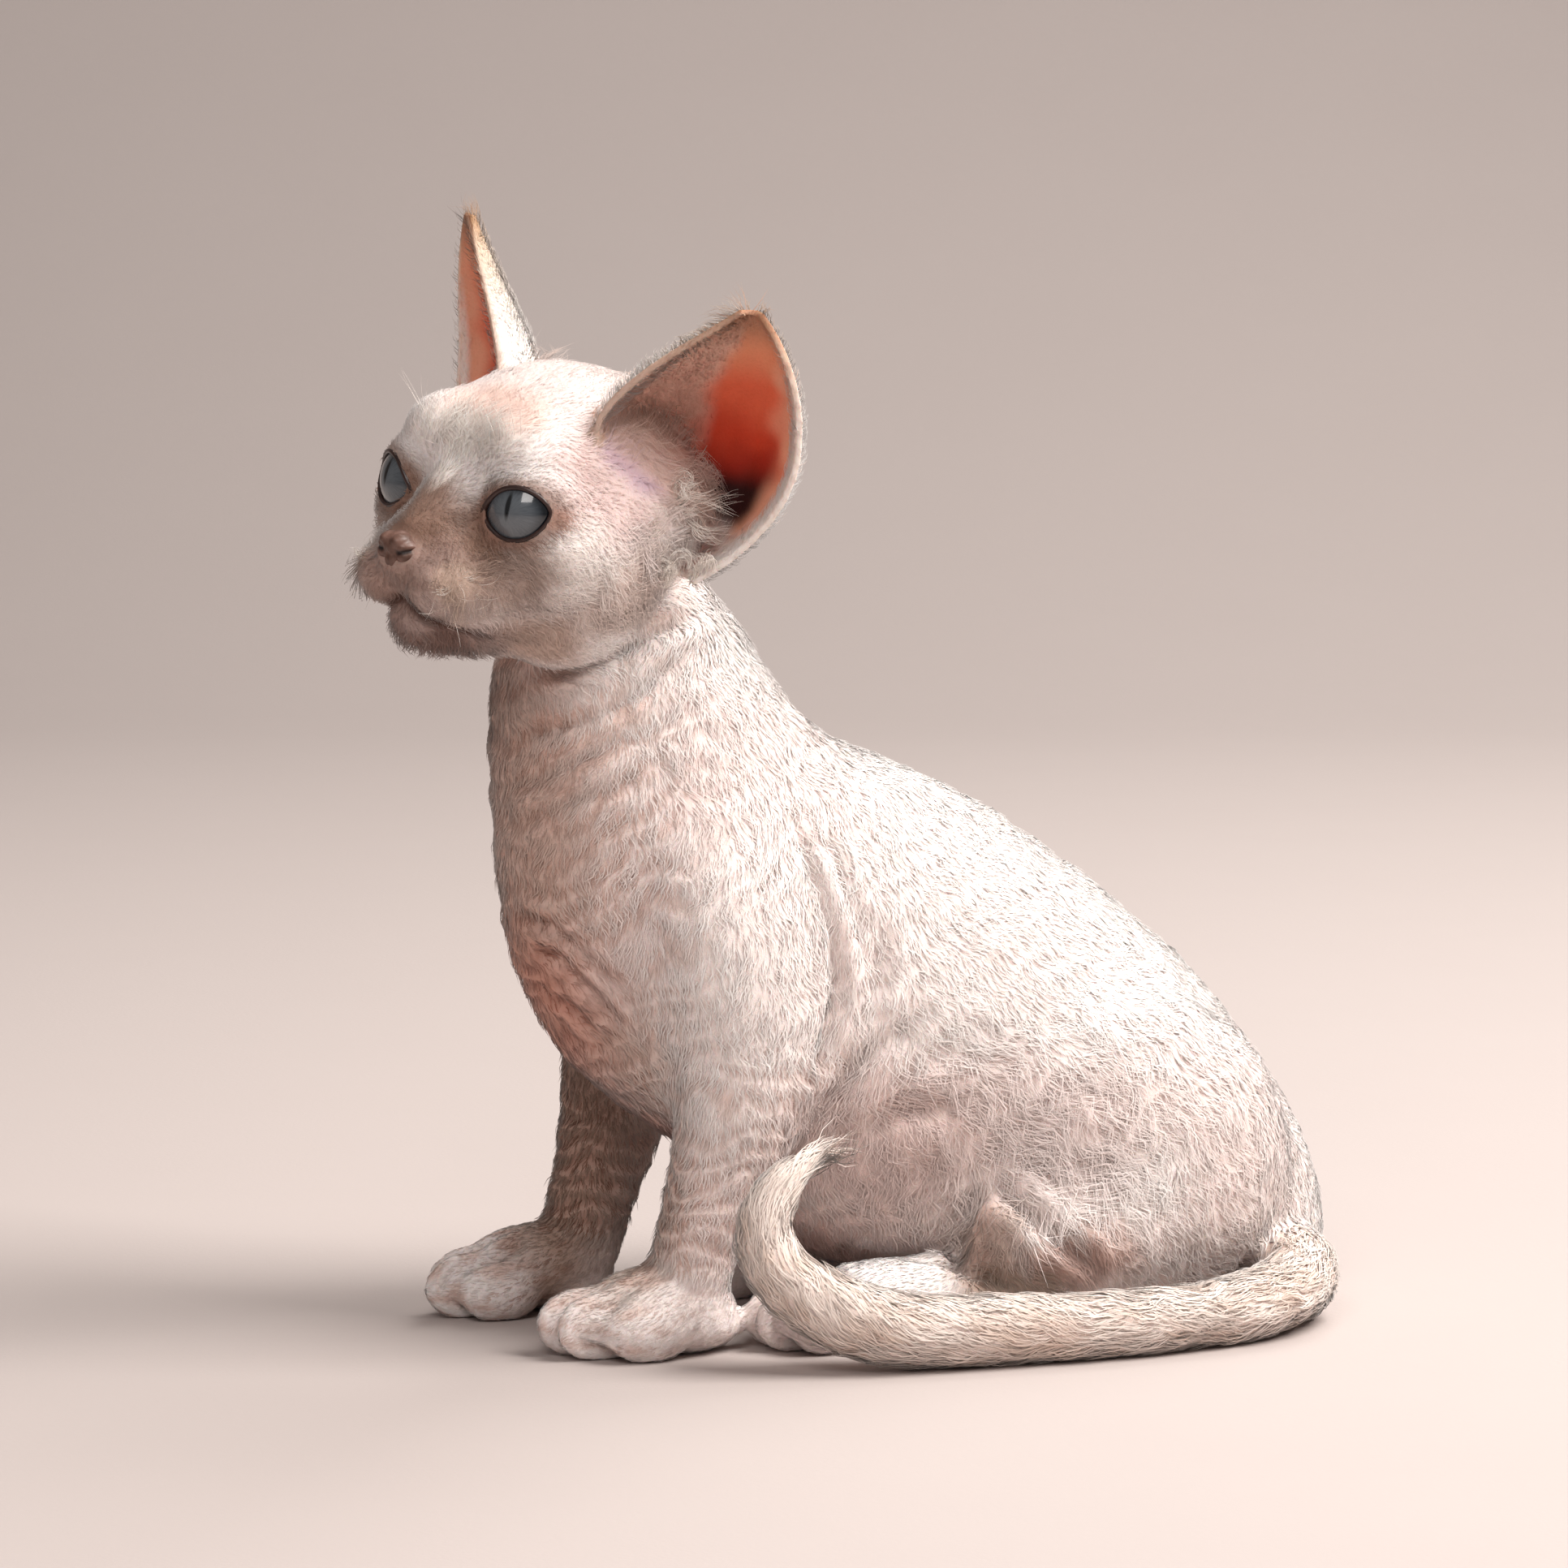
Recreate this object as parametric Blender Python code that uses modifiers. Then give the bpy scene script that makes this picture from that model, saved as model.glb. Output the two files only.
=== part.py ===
"""Life-size still model of a young Devon Rex kitten that sits with its head turned to its left.

The kitten faces -X, its left side is towards -Y, and it rests on the plane z = 0.
Body forms are given in the kitten's own profile, head forms in a frame of the head.
All sizes are named here in millimetres and become metres with MM.
"""

import math

import bmesh
import bpy
import numpy as np
from mathutils import Matrix, Vector

MM = 0.001
GAP = 0.3
FLOOR = 0.8

# Fineness of the fused forms, and the triangles that each keeps.
BODY_VOXEL = 1.2
HEAD_VOXEL = 0.95
BODY_TRIANGLES = 3900
FEET_TRIANGLES = 3900
HEAD_TRIANGLES = 2700
EYE_SEGMENTS = 20

# Place of the head's own frame: X forward, Y to the kitten's left, Z up.
HEAD_CENTRE = (-54.7, -7.7, 178.5)
HEAD_TURN = 25.0
HEAD_TILT = 8.0

# Eyes, in the frame of the head.
EYE_CENTRE = (16.6, 15.8, -1.0)
EYE_RADIUS = 10.5
EYE_OUTWARD = 20.0
EYE_UPWARD = 4.0
LID_THICKNESS = 1.2
LID_HALF_LENGTH = 8.1
LID_UPPER = 5.6
LID_LOWER = 5.9
LID_SLANT = 10.0

# Ears, in the frame of the head. Each section has a height, how far its middle lies out and
# back along the opening, its half width, how far its rim lies ahead, and the depth of its cup.
EAR_THICKNESS = 1.7
EAR_TURN = 45.0
LEFT_EAR_LOWERED = 0.87
LEFT_EAR_LEAN = 0.06
# The right ear turns further to the front about an upright line through its base, which lies
# this far out and ahead. Its cup is shallower and lies further back.
RIGHT_EAR_FORWARD = 15.0
RIGHT_EAR_DEPTH = 0.62
RIGHT_EAR_BACK = 3.8
EAR_PIVOT = (29.4, 7.2)
EAR_SECTIONS = (
    (-14, 26.5, 5.0, 17.0, 9.0),
    (-8, 28.0, 11.0, 18.5, 15.0),
    (1, 29.4, 16.8, 20.0, 18.5),
    (12, 29.4, 20.0, 21.0, 19.5),
    (21, 29.0, 20.2, 21.5, 18.5),
    (29, 30.4, 17.4, 22.6, 14.8),
    (37, 32.4, 12.6, 23.8, 9.8),
    (44, 34.4, 7.0, 24.6, 5.6),
    (50, 35.4, 1.6, 25.2, 2.0),
)

# Body sections: upper point (x, z), lower point (x, z) and half width.
BODY_SECTIONS = (
    ((-24, 170), (-60, 162), 18),
    ((-20, 160), (-62, 148), 21),
    ((-12, 150), (-64, 133), 23.5),
    ((-3, 137), (-64, 116), 25.5),
    ((8, 126), (-63, 98), 28),
    ((22, 120), (-58, 74), 30.5),
    ((40, 111.5), (-42, 52), 32.5),
    ((58, 100), (-18, 34), 34),
    ((74.5, 87.5), (4, 14), 35),
    ((90, 74), (36, 4), 34.5),
    ((103, 58.5), (62, 1), 32.5),
    ((114, 42), (84, 0), 30),
    ((120.5, 25), (100, 0), 24),
    ((122.5, 11), (112, 0), 14),
)

# Limb sections: x, y, z, half depth along X and half width along Y, for the left side.
FORELEG_SECTIONS = (
    (-18, 11, 128, 8, 5),
    (-21, 16.5, 118, 14.5, 10),
    (-22, 21.5, 104, 18, 12.5),
    (-20.5, 24.5, 90, 19.2, 14),
    (-18.5, 26, 75, 18.2, 13.8),
    (-17.2, 26, 61, 15.8, 13),
    (-20, 25.5, 45, 13.6, 11.8),
    (-24.8, 24.5, 31, 11.2, 10.5),
    (-29, 23.5, 18, 9.6, 10),
    (-31, 23.5, 8, 9, 9.5),
)
FOREPAW_TOES = (
    (-40.5, 31.6, 6.8, 9.5, 4.4, 6.6),
    (-48.5, 25.8, 7.2, 10.0, 4.3, 7.0),
    (-51.0, 19.4, 7.2, 10.0, 4.3, 7.0),
    (-46.0, 13.8, 6.6, 9.0, 4.0, 6.4),
)
RIGHT_LEG_AHEAD = 6.5
RIGHT_LEG_ASIDE = 3.5
RIGHT_PAW_AHEAD = 11.0

# Foot sections: x, y, z, half width along Y and half height along Z.
FOOT_SECTIONS = (
    (66, 31, 11, 8, 9),
    (52, 31, 9, 9, 9),
    (30, 30, 8.5, 9.5, 9),
    (12, 29.5, 9, 10.5, 9),
    (2, 29.5, 8.5, 11.5, 8.5),
)
HINDPAW_TOES = (
    (-3.0, 37.0, 6.8, 9.0, 4.2, 6.6),
    (-8.0, 32.0, 7.2, 9.5, 4.2, 7.0),
    (-8.5, 26.4, 7.2, 9.5, 4.2, 7.0),
    (-4.0, 21.2, 6.6, 9.0, 4.0, 6.4),
)

# Tail line: x, y, z and radius.
TAIL_POINTS = (
    (93, -5, 13, 9.0),
    (104, -20, 11.5, 9.4),
    (101, -40, 9.8, 8.9),
    (87, -53, 8.2, 7.7),
    (66, -58.5, 7.4, 7.0),
    (44, -59.5, 7.6, 7.3),
    (24, -58.5, 8.0, 7.7),
    (8, -57, 8.6, 8.1),
    (-5, -54.5, 11.5, 8.2),
    (-15, -52, 17, 7.6),
    (-21.5, -50, 25, 6.8),
    (-21.5, -49, 33, 5.9),
    (-17.5, -48.5, 39.5, 4.6),
    (-12.5, -48, 43, 2.8),
    (-8, -48, 44.5, 1.1),
)

# Side outlines that part the legs from the trunk, as x and z, and how far out they start.
HAUNCH_INNER = 20.0
HAUNCH_OUTLINE = (
    (26, -6),
    (26, 18),
    (30, 32),
    (36, 48),
    (49, 62),
    (65, 69),
    (82, 66),
    (97, 55),
    (106, 40),
    (110, 22),
    (110, -6),
)
FOOT_INNER = 17.0
FOOT_OUTLINE = ((-19.5, -6), (-19.5, 12), (-14, 17.5), (25.7, 19), (25.7, -6))
FOREPAW_INNER = 4.0
FOREPAW_OUTLINE = ((-90, -6), (-90, 31), (-40, 21), (-19.8, 16), (-19.8, -6))
FORELEG_INNER = 13.0
FORELEG_OUTLINE = (
    (-78, -6),
    (-78, 26),
    (-50, 44),
    (-38, 58),
    (-20, 65),
    (-4, 65),
    (4, 57),
    (1, 45),
    (-6, 31),
    (-12, 22),
    (-19.6, 14),
    (-19.6, -6),
)

# Planes that part the neck and the lengths of the tail: point and direction.
NECK_PLANE = ((-32, 0, 120.5), (-0.37, 0, 0.93))
TAIL_PLANES = (((66, -58.5, 8), (1, 0.05, 0)), ((-4, -54.8, 11.2), (-0.9, 0.2, 0.35)))

# Nose and mouth, in the frame of the head.
NOSE_CENTRE = (38.2, 0, -10.0)
NOSE_RADII = (4.4, 4.9, 3.8)
NOSTRIL = (42.3, 2.4, -10.8)
NOSTRIL_RADII = (2.0, 1.2, 0.95)
MOUTH_LINE = (
    (29.5, -12.0, -25.8),
    (33.5, -9.0, -26.2),
    (37.0, -5.0, -25.0),
    (39.5, 0.0, -22.0),
    (37.0, 5.0, -25.0),
    (33.5, 9.0, -26.2),
    (29.5, 12.0, -25.8),
)
MOUTH_DEPTH = 4.0
MOUTH_WIDTH = 0.7

COLOURS = {
    "coat": ((0.86, 0.79, 0.74), 0.8),
    "tail": ((0.76, 0.67, 0.56), 0.8),
    "ear": ((0.83, 0.55, 0.45), 0.7),
    "eye": ((0.22, 0.28, 0.33), 0.15),
    "nose": ((0.52, 0.33, 0.29), 0.5),
}


def metres(point):
    """The point as a vector in metres."""
    return Vector(point) * MM


def clear_scene():
    """Removes whatever the scene holds."""
    for obj in list(bpy.data.objects):
        bpy.data.objects.remove(obj)


def new_collection(name, hidden=False):
    """A collection in the scene."""
    made = bpy.data.collections.new(name)
    bpy.context.scene.collection.children.link(made)
    made.hide_render = hidden
    return made


def mesh_object(name, mesh, collection):
    """An object for the mesh, in the collection."""
    obj = bpy.data.objects.new(name, mesh)
    collection.objects.link(obj)
    return obj


def baked(obj, name=None):
    """The object with its modifiers and its place applied to its mesh."""
    bpy.context.view_layer.update()
    graph = bpy.context.evaluated_depsgraph_get()
    mesh = bpy.data.meshes.new_from_object(obj.evaluated_get(graph))
    mesh.transform(obj.matrix_world)
    collection = obj.users_collection[0]
    name = name or obj.name
    bpy.data.objects.remove(obj)
    mesh.name = name
    return mesh_object(name, mesh, collection)


def ellipsoid(centre, radii, tilt=(0, 0, 0), segments=32):
    """A UV sphere scaled to three radii, tilted by degrees about X, Y and Z."""
    bpy.ops.mesh.primitive_uv_sphere_add(segments=segments, ring_count=segments // 2, radius=1)
    obj = bpy.context.active_object
    turn = Matrix.Rotation(math.radians(tilt[2]), 4, "Z")
    turn = turn @ Matrix.Rotation(math.radians(tilt[1]), 4, "Y")
    turn = turn @ Matrix.Rotation(math.radians(tilt[0]), 4, "X")
    size = Matrix.Diagonal((*(r * MM for r in radii), 1))
    obj.data.transform(Matrix.Translation(metres(centre)) @ turn @ size)
    return obj


def spline_rows(rows, steps):
    """Rows of numbers read along a Catmull-Rom curve, with steps between two rows."""
    rows = np.array(rows, float)
    padded = np.vstack([2 * rows[0] - rows[1], rows, 2 * rows[-1] - rows[-2]])
    out = []
    for i in range(len(rows) - 1):
        p0, p1, p2, p3 = padded[i : i + 4]
        for t in np.arange(steps) / steps:
            out.append(
                0.5
                * (
                    2 * p1
                    + (p2 - p0) * t
                    + (2 * p0 - 5 * p1 + 4 * p2 - p3) * t**2
                    + (3 * p1 - p0 - 3 * p2 + p3) * t**3
                )
            )
    return np.array([*out, rows[-1]])


def loft(name, rings):
    """A closed body through rings of points in millimetres, each with the same count."""
    bm = bmesh.new()
    loops = [[bm.verts.new(metres(p)) for p in ring] for ring in rings]
    for lower, upper in zip(loops, loops[1:]):
        for i in range(len(lower)):
            j = (i + 1) % len(lower)
            bm.faces.new((lower[i], lower[j], upper[j], upper[i]))
    bm.faces.new(loops[0][::-1])
    bm.faces.new(loops[-1])
    bmesh.ops.recalc_face_normals(bm, faces=bm.faces)
    mesh = bpy.data.meshes.new(name)
    bm.to_mesh(mesh)
    bm.free()
    return mesh_object(name, mesh, bpy.context.scene.collection)


def oval(centre, along, across, sides=28):
    """A ring of points round the centre, on an ellipse with two half axes."""
    turns = np.arange(sides) * 2 * math.pi / sides
    return [
        np.array(centre) + math.cos(a) * np.array(along) + math.sin(a) * np.array(across)
        for a in turns
    ]


def profile_loft(name, sections, steps=4):
    """A loft whose sections hang between an upper and a lower point of the profile."""
    rows = spline_rows([(*top, *bottom, width) for top, bottom, width in sections], steps)
    rings = []
    for x1, z1, x2, z2, width in rows:
        centre = ((x1 + x2) / 2, 0, (z1 + z2) / 2)
        rings.append(oval(centre, ((x1 - x2) / 2, 0, (z1 - z2) / 2), (0, width, 0)))
    return loft(name, rings)


def limb_loft(name, sections, side, ahead=0.0, aside=0.0, steps=3):
    """A loft with level sections, on the left (side -1) or the right (side 1)."""
    rings = []
    for x, y, z, depth, width in spline_rows(sections, steps):
        share = min(1.0, max(0.0, (100 - z) / 40))
        centre = (x - ahead * share, side * (y + aside * share), z)
        rings.append(oval(centre, (depth, 0, 0), (0, width, 0), 20))
    return loft(name, rings)


def fused(name, pieces, voxel, smoothing, collection):
    """The pieces as one closed body: joined, remeshed in voxels and smoothed."""
    bpy.ops.object.select_all(action="DESELECT")
    for piece in pieces:
        piece.select_set(True)
    bpy.context.view_layer.objects.active = pieces[0]
    bpy.ops.object.join()
    body = bpy.context.active_object
    body.name = name
    for owner in list(body.users_collection):
        owner.objects.unlink(body)
    collection.objects.link(body)
    remesh = body.modifiers.new("Fuse", "REMESH")
    remesh.mode = "VOXEL"
    remesh.voxel_size = voxel * MM
    smooth = body.modifiers.new("Blend", "SMOOTH")
    smooth.iterations = smoothing
    smooth.factor = 0.5
    return baked(body)


def reduced(obj, triangles):
    """The object thinned to about this many triangles."""
    mesh = obj.data
    mesh.calc_loop_triangles()
    thin = obj.modifiers.new("Thin", "DECIMATE")
    thin.ratio = min(1.0, triangles / len(mesh.loop_triangles))
    thin.use_collapse_triangulate = True
    return baked(obj)


def grown(obj, distance):
    """A copy of the object with its surface moved outwards by millimetres."""
    copy = mesh_object(obj.name + "_grown", obj.data.copy(), obj.users_collection[0])
    copy.matrix_world = obj.matrix_world
    spread = copy.modifiers.new("Grow", "DISPLACE")
    spread.mid_level = 0
    spread.strength = distance * MM
    return baked(copy)


def combined(obj, cutter, operation, keep_cutter=False):
    """The object cut by, or kept inside, another one."""
    cut = obj.modifiers.new("Cut", "BOOLEAN")
    cut.operation = operation
    cut.solver = "EXACT"
    cut.object = cutter
    made = baked(obj)
    if not keep_cutter:
        bpy.data.objects.remove(cutter)
    return made


def largest_body(obj):
    """Drops every loose shell of the object except its largest."""
    bm = bmesh.new()
    bm.from_mesh(obj.data)
    left = set(bm.verts)
    shells = []
    while left:
        todo = [left.pop()]
        shell = set(todo)
        while todo:
            for edge in todo.pop().link_edges:
                for vert in edge.verts:
                    if vert not in shell:
                        shell.add(vert)
                        todo.append(vert)
        left -= shell
        shells.append(shell)
    shells.sort(key=len)
    for shell in shells[:-1]:
        bmesh.ops.delete(bm, geom=list(shell), context="VERTS")
    bm.to_mesh(obj.data)
    bm.free()
    return obj


def prism(outline, side, inner, outer, wider=0.0):
    """A body over a side outline, from one distance off the middle plane to another."""
    points = [Vector(p) for p in outline]
    area = sum(a.x * b.y - b.x * a.y for a, b in zip(points, [*points[1:], points[0]]))
    sign = 1 if area > 0 else -1
    moved = []
    for i, point in enumerate(points):
        before = (point - points[i - 1]).normalized()
        after = (points[(i + 1) % len(points)] - point).normalized()
        out = Vector((before.y + after.y, -before.x - after.x)).normalized() * sign
        slope = max(0.4, abs(out.dot(Vector((before.y, -before.x)))))
        moved.append(point + out * (wider / slope))
    near = (inner - wider) * side
    far = outer * side
    rings = [[(p.x, y, p.y) for p in moved] for y in (near, far)]
    return loft("prism", rings)


def slab(centre, normal, reach, thickness=GAP):
    """A thin square plate, for parting a body across a plane."""
    bpy.ops.mesh.primitive_cube_add(size=1)
    plate = bpy.context.active_object
    turn = Vector(normal).to_track_quat("Z", "Y").to_matrix().to_4x4()
    size = Matrix.Diagonal((2 * reach * MM, 2 * reach * MM, thickness * MM, 1))
    plate.data.transform(Matrix.Translation(metres(centre)) @ turn @ size)
    return plate


def parted(obj, names):
    """The loose bodies of an object as named objects, in order from the rear to the front."""
    bpy.ops.object.select_all(action="DESELECT")
    obj.select_set(True)
    bpy.context.view_layer.objects.active = obj
    bpy.ops.mesh.separate(type="LOOSE")
    found = list(bpy.context.selected_objects)
    found.sort(key=lambda one: len(one.data.vertices))
    for crumb in found[: -len(names)]:
        bpy.data.objects.remove(crumb)
    found = found[-len(names) :]
    found.sort(key=lambda one: -sum(v.co.x for v in one.data.vertices) / len(one.data.vertices))
    for one in found:
        one.name = "loose"
    for one, name in zip(found, names):
        one.name = name
    return found


def taken(rest, source, name, outline, side, inner, outer=70.0):
    """Parts the piece inside a side outline off; returns what rests and the piece of the source."""
    piece = mesh_object(name, source.data.copy(), rest.users_collection[0])
    piece = combined(piece, prism(outline, side, inner, outer), "INTERSECT")
    rest = combined(rest, prism(outline, side, inner, outer, GAP), "DIFFERENCE")
    return largest_body(rest), largest_body(piece)


def mirrored(point, side):
    """A point or direction of the left side, on the asked side."""
    return (point[0], point[1] * side, point[2])


def forepaw(side, ahead=0.0, aside=0.0):
    """Pieces of a forepaw on the floor: instep, pad and four toes."""
    pieces = [
        ellipsoid((-35 - ahead, side * (23.2 + aside), 10), (15.5, 11, 9)),
        ellipsoid((-30 - ahead, side * (23.5 + aside), 6.3), (12, 10, 6)),
    ]
    for x, y, z, rx, ry, rz in FOREPAW_TOES:
        pieces.append(ellipsoid((x - ahead, side * (y + aside), z), (rx, ry, rz)))
    return pieces


def haunch(side):
    """Pieces of a folded thigh with its knee."""
    return [
        ellipsoid((67, side * 24, 36), (39, 20, 36), (0, 20, 0)),
        ellipsoid((57, side * 32, 23), (25, 13, 18.5), (0, -12, 0)),
        ellipsoid((41, side * 34, 22), (12.5, 10.5, 13)),
    ]


def foot(side):
    """Pieces of a long hind foot on the floor."""
    rings = [
        oval((x, side * y, z), (0, wide, 0), (0, 0, high), 20)
        for x, y, z, wide, high in spline_rows(FOOT_SECTIONS, 3)
    ]
    pieces = [loft("foot", rings)]
    for x, y, z, rx, ry, rz in HINDPAW_TOES:
        pieces.append(ellipsoid((x, side * y, z), (rx, ry, rz)))
    return pieces


def head_matrix():
    """The place and turn of the head's own frame."""
    return (
        Matrix.Translation(metres(HEAD_CENTRE))
        @ Matrix.Rotation(math.radians(180 + HEAD_TURN), 4, "Z")
        @ Matrix.Rotation(math.radians(-HEAD_TILT), 4, "X")
    )


def skull_pieces():
    """The large forms of the head, in its own frame."""
    pieces = [
        ellipsoid((-4, 0, 3), (29.5, 28, 22.5)),
        ellipsoid((-9, 0, -8), (23, 26, 21)),
        ellipsoid((9, 0, -20), (24, 18, 13)),
        ellipsoid((22, 0, -14), (18, 17, 12.5)),
        ellipsoid((17, 0, -25), (18, 14, 8.5)),
        ellipsoid((22, 0, -2), (15, 9, 9), (0, 35, 0)),
        ellipsoid((30, 0, -6), (11, 6.5, 6), (0, 35, 0)),
    ]
    for side in (-1, 1):
        pieces += [
            ellipsoid((4, side * 15.5, -9), (20.5, 15.5, 17)),
            ellipsoid((13, side * 18.5, -8), (13, 11.5, 13)),
            ellipsoid((13.5, side * 12, 8), (12.5, 12, 11)),
            ellipsoid((1, side * 11.5, -21), (21, 14, 14.5)),
            ellipsoid((19, side * 11, -17), (14, 9.5, 9.5)),
            ellipsoid((-8, side * 20, -1), (17, 12, 15)),
        ]
    return pieces


def face_pieces():
    """The smaller forms of the head: lids, pads of the lip, nose and chin."""
    pieces = [
        ellipsoid((28, 0, -26), (9.5, 9, 7)),
        ellipsoid((36.6, 0, -11.5), (5.2, 6.8, 5.6)),
    ]
    for side in (-1, 1):
        eye = (EYE_CENTRE[0], side * EYE_CENTRE[1], EYE_CENTRE[2])
        pieces += [
            ellipsoid((30.5, side * 6.8, -17), (9.2, 8.8, 7.6)),
            ellipsoid(eye, [EYE_RADIUS + LID_THICKNESS] * 3),
        ]
    return pieces


def eye_axes(side):
    """Centre of the eye and its forward, outward and upward directions."""
    out = math.radians(EYE_OUTWARD)
    rise = math.radians(EYE_UPWARD)
    look = Vector((math.cos(out) * math.cos(rise), side * math.sin(out), math.sin(rise)))
    look.normalize()
    outward = Vector((-look.y, look.x, 0)).normalized() * side
    upward = look.cross(outward) * side
    centre = Vector((EYE_CENTRE[0], side * EYE_CENTRE[1], EYE_CENTRE[2]))
    return centre, look, outward, upward


def lid_opening(side):
    """A cutter shaped as the opening between the lids."""
    centre, look, outward, upward = eye_axes(side)
    slant = math.radians(LID_SLANT)
    along = outward * math.cos(slant) + upward * math.sin(slant)
    over = upward * math.cos(slant) - outward * math.sin(slant)
    rings = []
    for depth, spread in ((EYE_RADIUS * 0.55, 0.86), (EYE_RADIUS * 0.95, 1.0), (EYE_RADIUS + 6, 1.3)):
        ring = []
        for turn in np.arange(24) * 2 * math.pi / 24:
            across = math.cos(turn)
            height = math.sin(turn)
            height *= LID_UPPER if height > 0 else LID_LOWER
            height *= 1 - 0.25 * abs(across) ** 3
            point = centre + look * depth
            point += along * (across * LID_HALF_LENGTH * spread) + over * (height * spread)
            ring.append(point)
        rings.append(ring)
    return loft("lids", rings)


def ear_axes(side, turn):
    """The way an ear with this turn faces, and the way across it."""
    turn = math.radians(turn)
    facing = Vector((math.cos(turn), side * math.sin(turn), 0))
    across = Vector((-math.sin(turn), side * math.cos(turn), 0))
    return facing, across


def ear(side, collection):
    """One ear as a cupped sheet, in the frame of the head."""
    left = side > 0
    facing, across = ear_axes(side, EAR_TURN)
    pivot = across * EAR_PIVOT[0] + facing * EAR_PIVOT[1]
    facing, across = ear_axes(side, EAR_TURN if left else EAR_TURN - RIGHT_EAR_FORWARD)
    pivot -= across * EAR_PIVOT[0] + facing * EAR_PIVOT[1]
    angles = np.linspace(-math.pi / 2, math.pi / 2, 11)
    lowered = LEFT_EAR_LOWERED if left else 1.0
    lean = LEFT_EAR_LEAN if left else 0.0
    back = 0.0 if left else RIGHT_EAR_BACK
    share = 1.0 if left else RIGHT_EAR_DEPTH
    bm = bmesh.new()
    grid = []
    for height, middle, half_width, front, depth in spline_rows(EAR_SECTIONS, 2):
        level = []
        middle += lean * max(0.0, height)
        for a in angles:
            point = pivot + Vector((0, 0, height * lowered if height > 0 else height))
            point += across * (middle + half_width * math.sin(a))
            point += facing * (front - back - share * depth * math.cos(a))
            level.append(bm.verts.new(point * MM))
        grid.append(level)
    for lower, upper in zip(grid, grid[1:]):
        for i in range(len(lower) - 1):
            bm.faces.new((lower[i], lower[i + 1], upper[i + 1], upper[i]))
    bmesh.ops.recalc_face_normals(bm, faces=bm.faces)
    mesh = bpy.data.meshes.new("ear")
    bm.to_mesh(mesh)
    bm.free()
    obj = mesh_object("ear", mesh, collection)
    thick = obj.modifiers.new("Wall", "SOLIDIFY")
    thick.thickness = EAR_THICKNESS * MM
    thick.offset = 0
    return baked(obj)


def mouth_cutter():
    """A thin curved blade along the line of the mouth, with a short one up to the nose."""
    rings = []
    for x, y, z in spline_rows(MOUTH_LINE, 3):
        half = MOUTH_WIDTH / 2
        rings.append(
            [
                (x - MOUTH_DEPTH, y * 0.8, z - half),
                (x + 5, y * 1.15, z - half - 1),
                (x + 5, y * 1.15, z + half - 1),
                (x - MOUTH_DEPTH, y * 0.8, z + half),
            ]
        )
    return loft("mouth", rings)


def make_head(kitten):
    """The head with its eyes, ears and nose in place, and the head's outside for parting."""
    skull = fused("skull", skull_pieces(), 1.4, 30, kitten)
    head = fused("head", [skull, *face_pieces()], HEAD_VOXEL, 9, kitten)
    head = reduced(head, HEAD_TRIANGLES)
    outside = grown(head, GAP)
    made = []
    nose = ellipsoid(NOSE_CENTRE, NOSE_RADII, segments=20)
    pocket = ellipsoid(NOSE_CENTRE, [r + GAP for r in NOSE_RADII], segments=20)
    head = combined(head, pocket, "DIFFERENCE")
    head = combined(head, mouth_cutter(), "DIFFERENCE")
    for side, name in ((-1, "right"), (1, "left")):
        centre = eye_axes(side)[0]
        socket = ellipsoid(centre, [EYE_RADIUS + GAP] * 3, segments=EYE_SEGMENTS)
        head = combined(head, socket, "DIFFERENCE")
        head = combined(head, lid_opening(side), "DIFFERENCE")
        eye = ellipsoid(centre, [EYE_RADIUS] * 3, segments=EYE_SEGMENTS)
        eye.name = "eye_" + name
        made.append(eye)
        one = combined(ear(side, kitten), outside, "DIFFERENCE", keep_cutter=True)
        one = largest_body(one)
        one.name = "ear_" + name
        made.append(one)
        nostril = ellipsoid(mirrored(NOSTRIL, side), NOSTRIL_RADII, (0, 0, side * 35), 12)
        nose = combined(nose, nostril, "DIFFERENCE")
    head = largest_body(head)
    head.name = "head"
    nose.name = "nose"
    made += [head, nose]
    for one in [*made, outside]:
        one.data.transform(head_matrix())
    return made, outside


def make_tail():
    """The tail as one loft round the body."""
    rows = spline_rows(TAIL_POINTS, 3)
    rings = []
    for i, (x, y, z, radius) in enumerate(rows):
        ahead = Vector(rows[min(i + 1, len(rows) - 1)][:3])
        behind = Vector(rows[max(i - 1, 0)][:3])
        along = (ahead - behind).normalized()
        across = Vector((0, 0, 1)) - along * along.z
        if i > 0:
            across = last - along * along.dot(last)
        across.normalize()
        last = across
        other = along.cross(across)
        rings.append(oval((x, y, z), across * radius, other * radius, 12))
    return loft("tail", rings)


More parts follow.
